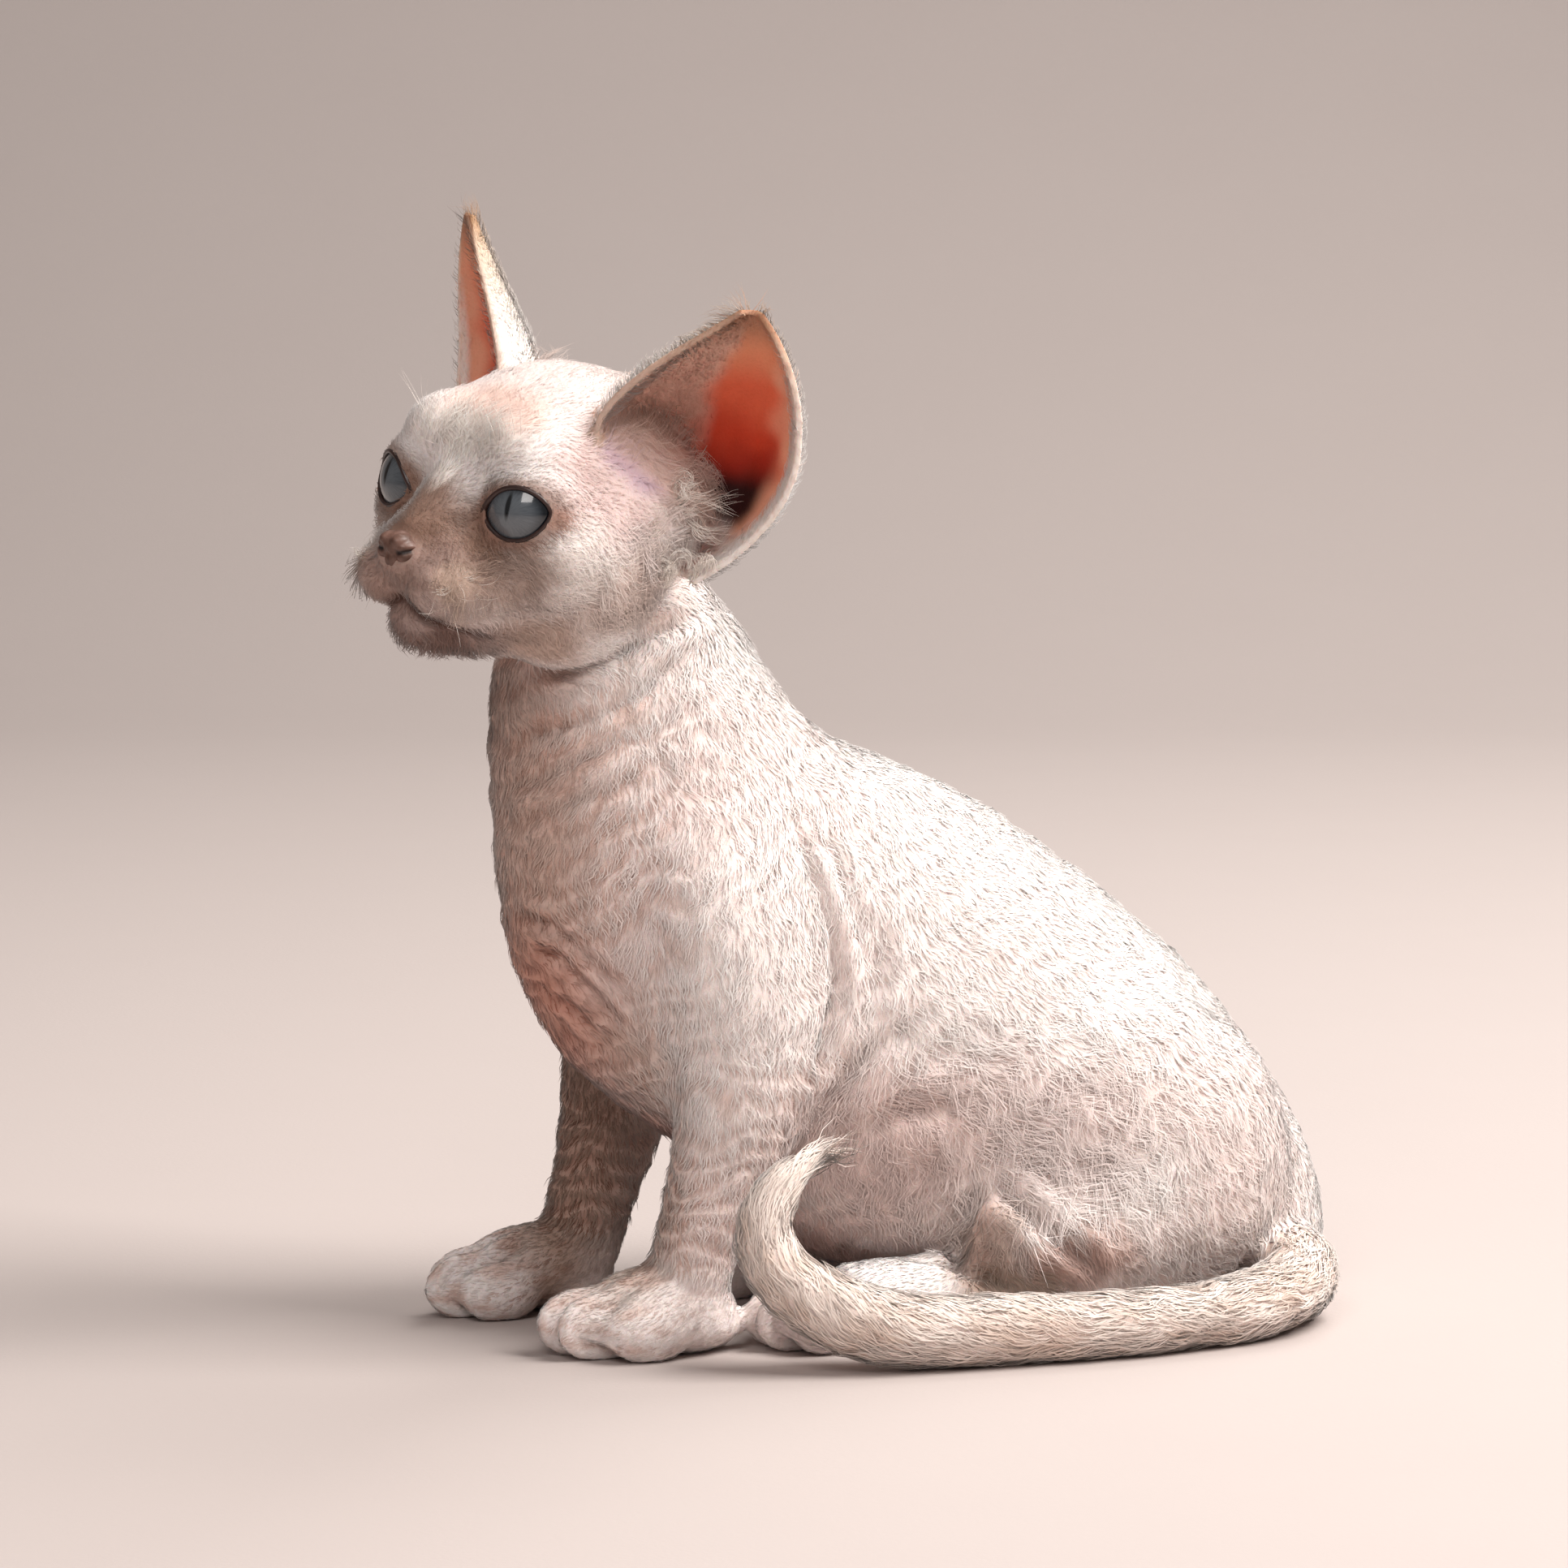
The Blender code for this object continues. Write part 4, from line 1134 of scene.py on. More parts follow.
@dataclass
class Hide:
    """The one skin of the kitten, fused from the flesh of the frame and shrunk under the coat."""

    seal: float = 0.25
    voxel: float = 0.66
    rounds: int = 11
    ear_rounds: int = 10
    depth_rounds: int = 12
    comb_rounds: int = 24
    most_faces: int = 190000
    floor: float = 0.1
    fine_share: float = 0.15
    pink: str = "e3b5a6"
    lips: str = "452519"
    net: Net | None = None
    zone: Array | None = None
    lie: Array | None = None
    body: bpy.types.Object | None = None

    def swollen(self, node: str) -> tuple[Array, Array]:
        """A node's merged points, moved a little outwards, and its faces."""
        net = Net.read(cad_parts[node].data)
        keys = np.round(net.points / 1e-4).astype(np.int64)
        _, first, back = np.unique(keys, axis=0, return_index=True, return_inverse=True)
        faces = back.reshape(-1)[net.faces]
        whole = (faces != np.roll(faces, 1, axis=1)).all(1)
        merged = Net(net.points[first], faces[whole])
        return merged.points + merged.normals() * self.seal, merged.faces

    def added(self) -> tuple[Array, Array]:
        """The skin under the nose and small swellings of the face, for the fuse."""
        own, sides = self.swollen("nose")
        more, more_sides = balls(FACE.swellings())
        return np.vstack([own, PLACE.from_head(more)]), np.vstack([sides, more_sides + len(own)])

    def fuse(self) -> None:
        """Joins the flesh nodes, remeshes them as one body and evens it out."""
        parts = [(*self.swollen(node), zone.value) for node, zone in ZONE_NODES.items()]
        parts.append((*self.added(), Zone.HEAD.value))
        starts = np.cumsum([0] + [len(own) for own, _, _ in parts])
        joined = Net(
            np.concatenate([own for own, _, _ in parts]),
            np.concatenate([faces + start for (_, faces, _), start in zip(parts, starts)]),
        )
        marks = np.concatenate([np.full(len(own), mark) for own, _, mark in parts])
        self.net = self.largest(fused(joined, self.voxel))
        self.zone = self.zones(joined, marks, self.net.points)
        self.net.relax(self.rounds)
        ear = on(self.zone, Zone.EAR).astype(float)
        self.net.relax(self.ear_rounds, self.net.averaged(ear[:, None])[:, 0])

    @staticmethod
    def largest(net: Net) -> Net:
        """The largest connected surface of a net."""
        label = np.arange(len(net.points))
        first, second = net.edges.T
        for _ in range(400):
            low = np.minimum(label[first], label[second])
            before = label.copy()
            np.minimum.at(label, first, low)
            np.minimum.at(label, second, low)
            label = label[label]
            if (label == before).all():
                break
        names, counts = np.unique(label, return_counts=True)
        keep = label == names[np.argmax(counts)]
        order = np.cumsum(keep) - 1
        return Net(
            net.points[keep],
            order[net.faces[keep[net.faces].all(1)]],
            order[net.edges[keep[net.edges].all(1)]],
        )

    @staticmethod
    def zones(source: Net, marks: Array, points: Array) -> Array:
        """The zone of each point, from the nearest middle of a face of the source."""
        middles = source.points[source.faces].mean(1)
        face_marks = marks[source.faces[:, 0]]
        spots = np.concatenate([middles, source.points])
        labels = np.concatenate([face_marks, marks])
        tree = KDTree(len(spots))
        for i, spot in enumerate(spots):
            tree.insert(spot, i)
        tree.balance()
        return labels[np.array([tree.find(spot)[1] for spot in points])]

    def sink(self) -> None:
        """Moves the skin in by the depth of the coat."""
        depth = by_zone(self.zone, "depth")[:, None]
        for _ in range(self.depth_rounds):
            depth = self.net.averaged(depth)
        self.net.points -= self.net.normals() * depth

    def crease(self) -> None:
        """Presses the folds, the mouth and small ripples into the skin."""
        net = self.net
        normals = net.normals()
        head = PLACE.to_head(net.points)
        on_head = on(self.zone, Zone.HEAD).astype(float)
        calm = 1.0 - on(self.zone, Zone.HEAD, Zone.EAR)
        lift = np.zeros(len(net.points))
        for fold in BODY_FOLDS:
            lift += fold.lift(net.points) * calm
        for fold in HEAD_FOLDS:
            lift += fold.lift(head) * on_head
        lift += 0.4 * BODY_FOLDS[0].lift(net.points) * on_head
        for fold in LEG_FOLDS:
            lift += fold.lift(net.points) * ~on(self.zone, Zone.TAIL)
        paw = on(self.zone, Zone.FOREPAW, Zone.HINDPAW)
        wavy = calm * np.where(paw, 0.15, 1.0)
        leg = np.where(on(self.zone, Zone.FORELEG), 0.42, 0.34)
        lift += wavy * leg * ripple(net.points, self.zone)
        lift += wavy * (0.25 * grain(net.points, 7.0, 21) + 0.14 * grain(net.points, 2.6, 22))
        lift += on_head * 0.10 * grain(net.points, 2.2, 23)
        lift += FACE.carve(head) * on_head
        lift += FOREPAWS.lift(net.points) * on(self.zone, Zone.FOREPAW)
        lift += HINDPAWS.lift(net.points) * on(self.zone, Zone.HINDPAW)
        net.points += normals * lift[:, None]
        lids = EYES.close(PLACE.to_head(net.points), normals @ PLACE.turned())
        near = (on_head > 0)[:, None]
        net.points = np.where(near, PLACE.from_head(lids), net.points)
        net.points[:, 2] = np.maximum(net.points[:, 2], self.floor - SHIFT[2])

    def thin(self) -> None:
        """Keeps the head fine and makes the rest coarser."""
        obj = placed("hide", self.net.mesh("hide"))
        fine = on(self.zone, Zone.HEAD, Zone.EAR)
        group = obj.vertex_groups.new(name="coarse")
        group.add(np.flatnonzero(~fine).tolist(), 1.0, "REPLACE")
        group.add(np.flatnonzero(fine).tolist(), 0.0, "REPLACE")
        faces = len(self.net.faces)
        thin = obj.modifiers.new("Thin", "DECIMATE")
        thin.ratio = min(1.0, self.most_faces / faces)
        thin.use_collapse_triangulate = True
        thin.vertex_group = "coarse"
        thin.vertex_group_factor = self.fine_share
        settled(obj)
        old = self.net
        self.net = Net.read(obj.data)
        obj.vertex_groups.clear()
        self.zone = self.zones(old, self.zone, self.net.points)
        self.body = obj
        LOG.info("skin: %d faces fused, %d kept", faces, len(self.net.faces))

    def comb(self) -> None:
        """Finds the way in which the hair lies at each point."""
        points = self.net.points
        normals = self.net.normals()
        head = PLACE.to_head(points)
        side = side_of(head)
        turned = PLACE.turned()
        from_nose = head - np.array([44.0, 0.0, -4.0])
        from_nose[:, 1] *= 1.25
        face = unit(from_nose) + np.array([-0.2, 0.0, 0.0])
        crown = ease(4.0, 20.0, head[:, 2])
        face = mixed(face + np.array([0.0, 0.0, -0.35]), face + np.array([-0.4, 0, 0.1]), crown)
        _, across, _ = EAR.read(head, side)
        _, left = EAR.axes(1.0)
        _, right = EAR.axes(-1.0)
        outward = np.where((side > 0)[:, None], left, right) * across[:, None]
        ear = np.array([0.0, 0.0, 1.0]) + outward * 0.7
        nape = ease(-40.0, -10.0, points[:, 0])
        back = ease(0.0, 34.0, points[:, 0])
        low = ease(60.0, 30.0, points[:, 2]) * back
        down = np.array([0.25, 0.0, -1.0])
        trunk = mixed(down, np.array([0.8, 0.0, -0.6]), back)
        _, along = near_path(points, TAIL_LINE)
        steps = np.linspace(0, 1, len(TAIL_LINE))
        line = unit(np.gradient(TAIL_LINE, axis=0))
        ways = {
            Zone.HEAD: face @ turned.T,
            Zone.EAR: ear @ turned.T,
            Zone.NECK: mixed(down, np.array([0.75, 0.0, -0.75]), nape),
            Zone.TRUNK: mixed(trunk, np.array([0.7, 0.0, -0.7]), low),
            Zone.FORELEG: down,
            Zone.FOREPAW: [-1.0, 0.0, -0.35],
            Zone.HINDLEG: [0.55, 0.0, -0.8],
            Zone.HINDPAW: [-1.0, 0.0, -0.2],
            Zone.TAIL: np.stack([np.interp(along, steps, line[:, i]) for i in range(3)], 1),
        }
        way = np.zeros_like(points)
        for kind, found in ways.items():
            here = on(self.zone, kind)
            way[here] = np.broadcast_to(found, way.shape)[here]
        way = unit(way)
        for _ in range(self.comb_rounds):
            way = self.net.averaged(way)
            way -= normals * (way * normals).sum(1, keepdims=True)
            way = unit(way)
        self.lie = way

    def dress(self) -> None:
        """Gives the skin its markings and its finish, and sets it in the frame."""
        marks = MARKINGS.read(self.net.points, self.net.normals(), self.zone)
        mouth = FACE.mouth_share(PLACE.to_head(self.net.points))
        mouth = mouth * on(self.zone, Zone.HEAD)
        clean = on(self.zone, Zone.HEAD, Zone.FOREPAW, Zone.HINDPAW)
        pink = np.where(clean, 0.12, 0.3)
        pink = np.where(on(self.zone, Zone.EAR), 0.0, pink)
        colour = mixed(marks["coat"], paint(self.pink), pink)
        colour = mixed(colour, paint(self.lips), mouth)
        store(self.body.data, "coat", colour)
        # The glow is painted light shining through the ears.
        store(self.body.data, "glow", marks["glow"])
        self.body.data.materials.clear()
        self.body.data.materials.append(HideFinish().make())
        self.body.name = "skin"
        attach(self.body, ROOT)
        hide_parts(*ZONE_NODES)


@dataclass(frozen=True)
class Face:
    """Small forms of the face in the frame of the head: mouth, philtrum and whisker pads."""

    half_mouth: tuple[Triple, ...] = (
        (23, -13, -27.4),
        (28, -10.8, -26.8),
        (32.2, -8.6, -25.4),
        (35.8, -5.6, -23.6),
        (38.4, -2.4, -21.6),
    )
    lip: Triple = (39.4, 0, -20.6)
    philtrum: tuple[Triple, ...] = ((42.0, 0.0, -13.0), (40.0, 0.0, -20.6))

    def mouth(self) -> Array:
        """The line of the mouth from one corner to the other."""
        half = np.array(self.half_mouth)
        return np.vstack([half, [self.lip], half[::-1] * mirror(-1.0)])

    def swellings(self) -> list[tuple[Triple, Triple]]:
        """Whisker pads and cheeks that stand a little proud of the solids."""
        forms = []
        for side in SIDES:
            forms.append(((33.0, side * 7.6, -17.2), (7.6, 7.0, 6.6)))
            forms.append(((13.5, side * 22.0, -13.0), (9.0, 6.6, 8.0)))
        return forms

    def from_mouth(self, head: Array) -> tuple[Array, Array]:
        """How far places lie from the line of the mouth as seen from inside the jaw, and where."""
        inside, reach = np.array([14.0, 0.0, -20.0]), 22.0
        line = unit(self.mouth() - inside) * reach
        far, along = near_path(unit(head - inside) * reach, line)
        return np.where(head[:, 0] > 18.0, far, FAR), along

    def mouth_share(self, head: Array) -> Array:
        """How much of the dark line of the mouth each place has."""
        far, _ = self.from_mouth(head)
        line = 0.85 * ease(1.7, 0.4, far)
        split, _ = near_path(head, np.array(self.philtrum))
        return np.clip(line + 0.5 * ease(0.9, 0.3, split), 0.0, 1.0)

    def carve(self, head: Array) -> Array:
        """How far the face moves outwards at each place."""
        far, along = self.from_mouth(head)
        fade = ease(0.0, 0.1, along) * ease(1.0, 0.9, along)
        lift = -1.1 * fade * np.exp(-((far / 1.1) ** 2))
        chin = patch((29.0, 0.0, -29.5), (10.0, 11.0, 4.5), 1.0, False)
        lift -= 1.0 * chin.share(head)
        split, _ = near_path(head, np.array(self.philtrum))
        lift -= 0.5 * np.exp(-((split / 0.8) ** 2))
        pad = patch((34.0, 7.5, -17.5), (8.0, 6.0, 6.0), 1.0).share(head)
        rows = np.sin(head[:, 2] * 1.9 + head[:, 0] * 0.5) * np.sin(head[:, 0] * 1.7)
        nose = patch(NOSE.centre, (5.6, 4.9, 3.9), 0.5, False).share(head)
        return lift + 0.14 * pad * rows - 1.3 * nose


FACE = Face()


@dataclass(frozen=True)
class Region:
    """How the coat grows otherwise in a patch or on a part of an ear.

    length and width are factors; lift, wave and free are added; free is 0 where a tuft
    follows the skin and 1 where it stands in the air.
    """

    patch: Marking | None = None
    length: float = 1.0
    width: float = 1.0
    lift: float = 0.0
    wave: float = 0.0
    free: float = 0.0

    def change(self, tufts: dict[str, Array], share: Array) -> None:
        """Changes the growth of tufts, each by its share."""
        tufts["length"] *= 1.0 + (self.length - 1.0) * share
        tufts["width"] *= 1.0 + (self.width - 1.0) * share
        for key in ("lift", "wave", "free"):
            tufts[key] += getattr(self, key) * share


EAR_RIM = Region(length=0.9, width=0.8, lift=0.6, free=1.0)
EAR_FRONT = Region(length=1.5, width=0.85, lift=0.22, free=0.5)
EAR_TIP = Region(length=1.7, width=0.7, lift=0.1, free=1.0)
EAR_BASE = Region(length=2.1, width=0.8, lift=0.6, wave=0.3, free=1.0)


def region(centre: Triple, reach: Triple, both: bool = True, **growth: float) -> Region:
    """A region with a soft edge."""
    return Region(patch(centre, reach, both=both), **growth)


HEAD_REGIONS = (
    region((34, 0, -14), (15, 17, 17), length=0.8, width=0.8, lift=0.2, wave=0.15, free=0.4),
    region((20, 20, -16), (13, 12, 12), length=1.5, width=0.9, lift=0.1, wave=0.15),
    region((23, 1, 12.5), (6, 14, 5), length=1.9, lift=0.3, wave=0.2, free=0.6),
    region((34, 13, -15.5), (6, 4.5, 5.5), length=1.6, lift=0.35, wave=0.5, free=0.5),
    region((-2, 26, -12), (12, 11, 12), length=2.3, lift=0.16, wave=0.4, free=0.4),
    region((26, 0, -29), (11, 13, 6), length=1.7, lift=0.25, wave=0.15, free=0.5),
    region((8, 0, 28), (16, 20, 9), length=0.9, lift=0.1),
    region((-8, 14, 23), (9, 9, 8), length=1.2, lift=0.1, wave=0.2, free=0.2),
)
BODY_REGIONS = (
    region((45, 42, 30), (20, 9, 8), length=1.25, wave=0.08, free=0.1),
    region((26, 34, 42), (38, 18, 24), length=1.5, lift=0.07, wave=0.16, free=0.15),
    region((-22, 0, 140), (16, 20, 30), length=1.25, lift=0.15, free=0.3),
    region((30, 38, 23), (8, 8, 9), length=0.8, wave=0.15, lift=0.05),
    region((-10, -48, 43), (8, 8, 7), False, length=1.7, width=0.7, free=0.7),
)


@dataclass
class Coat:
    """The fur, as tapered tufts rooted in the skin."""

    hide: Hide
    most_tufts: int = 18500
    most_faces: int = 190000
    floor: float = 0.05
    rooted: float = 0.25
    flat: float = 0.62
    bend: float = 0.22
    bake_patch: float = 0.003
    surface: BVHTree | None = None

    def roots(self) -> dict[str, Array]:
        """Draws where tufts grow and reads the skin there."""
        net = self.hide.net
        normals = net.normals()
        corners = net.points[net.faces]
        first, second = corners[:, 1] - corners[:, 0], corners[:, 2] - corners[:, 0]
        area = np.linalg.norm(np.cross(first, second), axis=1) / 2.0
        zone = self.hide.zone[net.faces[:, 0]]
        marks = MARKINGS.read(corners.mean(1), normals[net.faces].mean(1), zone)
        head = PLACE.to_head(corners.mean(1))
        grow = by_zone(zone, "density") * (1.0 - marks["bare"])
        grow *= self.clear_of_face(head, zone)
        grow *= np.where(corners[:, :, 2].mean(1) < 1.2, 0.25, 1.0)
        total = np.cumsum(area * grow)
        rng = np.random.default_rng(SEED)
        count = int(total[-1])
        draws = (np.arange(count) + rng.random(count)) / count * total[-1]
        face = np.searchsorted(total, draws).clip(0, len(total) - 1)
        first, second = rng.random((2, count))
        flip = first + second > 1
        first, second = np.where(flip, 1 - first, first), np.where(flip, 1 - second, second)
        weights = np.stack([1 - first - second, first, second], 1)[:, :, None]
        index = net.faces[face]
        return {
            "root": (net.points[index] * weights).sum(1),
            "normal": unit((normals[index] * weights).sum(1)),
            "lie": unit((self.hide.lie[index] * weights).sum(1)),
            "zone": self.hide.zone[index[:, 0]],
        }

    @staticmethod
    def clear_of_face(head: Array, zone: Array) -> Array:
        """Thins the coat on the nose, the lips and inside the lids."""
        on_head = on(zone, Zone.HEAD)
        free = np.ones(len(head))
        free *= 1.0 - patch(NOSE.centre, (5.4, 5.6, 4.1), 0.15, False).share(head)
        far, _ = FACE.from_mouth(head)
        free *= ease(0.2, 0.8, far)
        free = np.where(EYES.away(head) < 1.07, 0.0, free)
        for side in SIDES:
            reach = np.linalg.norm(head - EYES.axes(side)[0], axis=1)
            free = np.where(reach < EYES.radius + 0.35, 0.0, free)
        return np.where(on_head, free, 1.0)

    def shaped_by_place(self, t: dict[str, Array], head: Array) -> None:
        """Changes the tufts' growth in the regions of the head and the body and on the ears."""
        on_head = on(t["zone"], Zone.HEAD)
        on_ear = on(t["zone"], Zone.EAR)
        for rows, regions, here in (
            (head, HEAD_REGIONS, on_head),
            (t["root"], BODY_REGIONS, ~on_head & ~on_ear),
        ):
            for one in regions:
                one.change(t, one.patch.share(rows) * here)
        side = side_of(head)
        tall, across, deep = EAR.read(head, side)
        EAR_RIM.change(t, on_ear * ease(0.70, 0.95, np.abs(across)) * ease(0.4, 0.2, deep))
        EAR_FRONT.change(t, on_ear * ease(0.15, -0.1, across) * ease(0.05, 0.2, deep))
        EAR_TIP.change(t, on_ear * ease(0.92, 0.99, tall))
        EAR_BASE.change(t, on_head * EAR.base(head, side))
        t["free"] = np.clip(t["free"], 0.0, 1.0)

    def tufts(self, drawn: dict[str, Array]) -> dict[str, Array]:
        """Settles the length, width, lie and curl of each tuft."""
        root, normal, zone = drawn["root"], drawn["normal"], drawn["zone"]
        rng = np.random.default_rng(SEED + 1)
        count = len(root)
        head = PLACE.to_head(root)
        small = on(zone, Zone.HEAD, Zone.EAR, Zone.FOREPAW, Zone.HINDPAW)
        waves = ripple(root, zone) * np.where(small, 0.25, 1.0)
        t = {
            **drawn,
            "length": by_zone(zone, "length") * rng.uniform(0.7, 1.25, count),
            "width": by_zone(zone, "width") * rng.uniform(0.75, 1.2, count),
            "lift": by_zone(zone, "lift") * rng.uniform(0.5, 1.5, count) * (1.0 + 0.6 * waves),
            "wave": by_zone(zone, "wave") * (1.0 + 0.6 * grain(root, 8.0, 31)),
            "free": np.where(rng.random(count) < np.where(on(zone, Zone.HEAD), 0.3, 0.12), 0.55, 0.0),
        }
        self.shaped_by_place(t, head)
        swirl = 0.42 * grain(root, 7.0, 33) + 0.40 * grain(root, 2.4, 34)
        swirl = swirl * np.where(small, 0.6, 1.0)
        swirl = swirl * np.where(on(zone, Zone.TAIL), 0.4, 1.0)
        swirl += rng.normal(0.0, 0.15, count)
        side = np.cross(normal, drawn["lie"])
        t["lie"] = unit(drawn["lie"] * np.cos(swirl)[:, None] + side * np.sin(swirl)[:, None])
        crossing = np.zeros(count, bool)
        for share in (0.5, 1.0):
            spot = PLACE.to_head(root + t["lie"] * (t["length"] * share)[:, None])
            crossing |= EYES.away(spot) < 1.0
        t["length"] = np.where(crossing, 0.4 * t["length"], t["length"])
        marks = MARKINGS.read(root, normal, zone)
        # Painted shade: tufts are up to 7 % darker where the fine swirl of their lie is strongest, to
        # set the locks apart.
        parting_shade = 1.0 - 0.07 * ease(0.15, 0.8, np.abs(grain(root, 2.4, 34)))
        uneven = np.where(on(zone, Zone.HEAD), 0.09, 0.045)
        shade = parting_shade + uneven * rng.normal(size=count) + 0.04 * grain(root, 2.4, 35)
        t["coat"] = np.clip(marks["coat"] * shade[:, None], 0.0, 1.0)
        t["phase"] = 3.0 * grain(root, 5.0, 36) + rng.normal(0.0, 0.35, count)
        t["tone"] = rng.uniform(0.78, 1.0, count)
        spot = PLACE.to_head(root + t["lie"] * t["length"][:, None])
        keep = EYES.away(spot) >= 0.98
        return {key: value[keep] for key, value in t.items()}

    def settle(self, spots: Array) -> tuple[Array, Array]:
        """The nearest places of the skin to some spots, and the outward direction there."""
        found = [self.surface.find_nearest(spot) for spot in spots.tolist()]
        return np.array([one[0][:] for one in found]), np.array([one[1][:] for one in found])

    @staticmethod
    def chart(root: Array, normal: Array) -> Array:
        """An unwrap of a stretch of skin by the six ways it can face.

        Args:
            root: Rows of places on the skin.
            normal: The outward direction of each.

        Returns:
            A place in the unit square for each row, with the same scale all over.
        """
        facing = np.argmax(np.abs(normal), axis=1)
        chart = facing * 2 + (normal[np.arange(len(normal)), facing] > 0)
        flat = np.zeros((len(root), 2))
        boxes = []
        for i in range(6):
            here = chart == i
            if not here.any():
                continue
            other = [axis for axis in range(3) if axis != i // 2]
            own = root[here][:, other]
            flat[here] = own - own.min(0)
            boxes.append((i, *np.ptp(own, axis=0)))
        boxes.sort(key=lambda box: -box[2])
        total = sum(box[1] * box[2] for box in boxes)
        across = max(max(box[1] for box in boxes), 1.15 * math.sqrt(total))
        left, base, row = 0.0, 0.0, 0.0
        gap = 0.012 * across
        for i, wide, high in boxes:
            if left + wide > across:
                left, base, row = 0.0, base + row + gap, 0.0
            flat[chart == i] += (left, base)
            left += wide + gap
            row = max(row, high)
        size = max(across, base + row) * 1.02
        return 0.005 + 0.985 * flat / size

    def build(self, name: str, t: dict[str, Array], rings: int) -> bpy.types.Object:
        """Makes one piece of the coat.

        Args:
            name: The name of the piece.
            t: The tufts' settled values.
            rings: How many rings a tuft has below its tip.

        Returns:
            The piece.
        """
        count = len(t["root"])
        normal, lie = t["normal"], t["lie"]
        side = np.cross(normal, lie)
        length, width = t["length"][:, None], t["width"][:, None]
        lift, wave = t["lift"][:, None], t["wave"][:, None]
        angles = np.array([0.0, 2.0, 4.0]) * math.pi / 3 + math.pi / 6
        rows, shading, tones, charts = [], [], [], []
        place = self.chart(t["root"], normal)
        for level in np.linspace(0.0, 1.0, rings + 1):
            rise = lift * length * (1.35 * level - 0.75 * level * level)
            sway = wave * length * np.sin(4.2 * level + t["phase"][:, None])
            sway -= wave * length * np.sin(t["phase"][:, None])
            spot = t["root"] + lie * length * level + side * sway
            facing = normal
            middle = spot - self.rooted * normal
            if level > 0.0:
                at, out = self.settle(spot)
                facing = unit(0.6 * normal + 0.4 * out)
                middle = mixed(at + facing * rise, spot + normal * rise, t["free"])
            if level == 1.0:
                rows.append(middle[:, None])
                shading.append((facing + 0.2 * lie)[:, None])
                tones.append(np.broadcast_to(1.0, (count, 1)))
                charts.append(np.array([[[0.5, 1.0]]]).repeat(count, 0))
                continue
            half = 0.5 * width * (1.0 - 0.75 * level**1.3)
            ring = [
                middle + side * (half * math.cos(a)) + facing * (half * self.flat * math.sin(a))
                for a in angles
            ]
            bend = [facing + side * self.bend * math.cos(a) for a in angles]
            rows.append(np.stack(ring, 1))
            shading.append(np.stack(bend, 1))
            # The tone runs from 0.35 at the root to 1 at the tip: painted shade towards the root.
            tones.append(np.full((count, 3), 0.35 + 0.65 * level))
            spots = np.array([[0.95, level], [0.05, level], [0.5, level]])
            charts.append(np.broadcast_to(spots, (count, 3, 2)))
        each = 3 * rings + 1
        points = np.concatenate(rows, 1).reshape(-1, 3)
        points[:, 2] = np.maximum(points[:, 2], self.floor - SHIFT[2])
        normals = unit(np.concatenate(shading, 1).reshape(-1, 3))
        tone = np.concatenate(tones, 1) * t["tone"][:, None]
        faces = self.tuft_faces(rings)
        spread = np.concatenate(charts, 1) * self.bake_patch
        uv = (place[:, None] + spread).reshape(-1, 2)
        index = (np.arange(count)[:, None, None] * each + faces).reshape(-1, 3)
        mesh = shaped(name, PLACE.metres(points), index, normals)
        store(mesh, "coat", np.repeat(t["coat"], each, axis=0))
        store(mesh, "tone", tone.reshape(-1))
        mark_map(mesh, BAKE_MAP, uv[index.reshape(-1)])
        return placed(name, mesh)

    @staticmethod
    def tuft_faces(rings: int) -> Array:
        """The triangles of one tuft, from its closed root to its tip."""
        faces = [(0, 2, 1)]
        for ring in range(rings - 1):
            for i in range(3):
                a, b = 3 * ring + i, 3 * ring + (i + 1) % 3
                faces += [(a, b, b + 3), (a, b + 3, a + 3)]
        last = 3 * (rings - 1)
        faces += [(last + i, last + (i + 1) % 3, last + 3) for i in range(3)]
        return np.array(faces)

    def grow(self) -> None:
        """Makes every piece of the coat."""
        net = self.hide.net
        self.surface = BVHTree.FromPolygons(
            net.points.tolist(), net.faces.tolist(), all_triangles=True
        )
        drawn = self.tufts(self.roots())
        finish = FurFinish().make()
        groups = {
            "coat_head": ("head", (Zone.HEAD,)),
            "coat_ears": ("ear_left", (Zone.EAR,)),
            "coat_neck": ("neck", (Zone.NECK,)),
            "coat_trunk": ("torso", (Zone.TRUNK,)),
            "coat_forelegs": ("foreleg_left", (Zone.FORELEG, Zone.FOREPAW)),
            "coat_hindlegs": ("hindleg_left", (Zone.HINDLEG, Zone.HINDPAW)),
            "coat_tail": ("tail_middle", (Zone.TAIL,)),
        }
        for name, (slot, zones) in groups.items():
            rings = GROWTHS[zones[0]].rings
            faces = len(self.tuft_faces(rings))
            most = min(self.most_tufts, self.most_faces // faces)
            mine = np.flatnonzero(on(drawn["zone"], *zones))
            mine = mine[np.argsort(drawn["root"][mine, 0] + 0.6 * drawn["root"][mine, 1])]
            parts = math.ceil(len(mine) / most)
            for i, chosen in enumerate(np.array_split(mine, parts)):
                piece_name = name if parts == 1 else f"{name}_{i + 1}"
                grown = {key: value[chosen] for key, value in drawn.items()}
                piece = self.build(piece_name, grown, rings)
                piece.data.materials.append(finish)
                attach(piece, ROOT)
                LOG.info("%s: %d tufts, %d faces", piece_name, len(chosen), len(chosen) * faces)


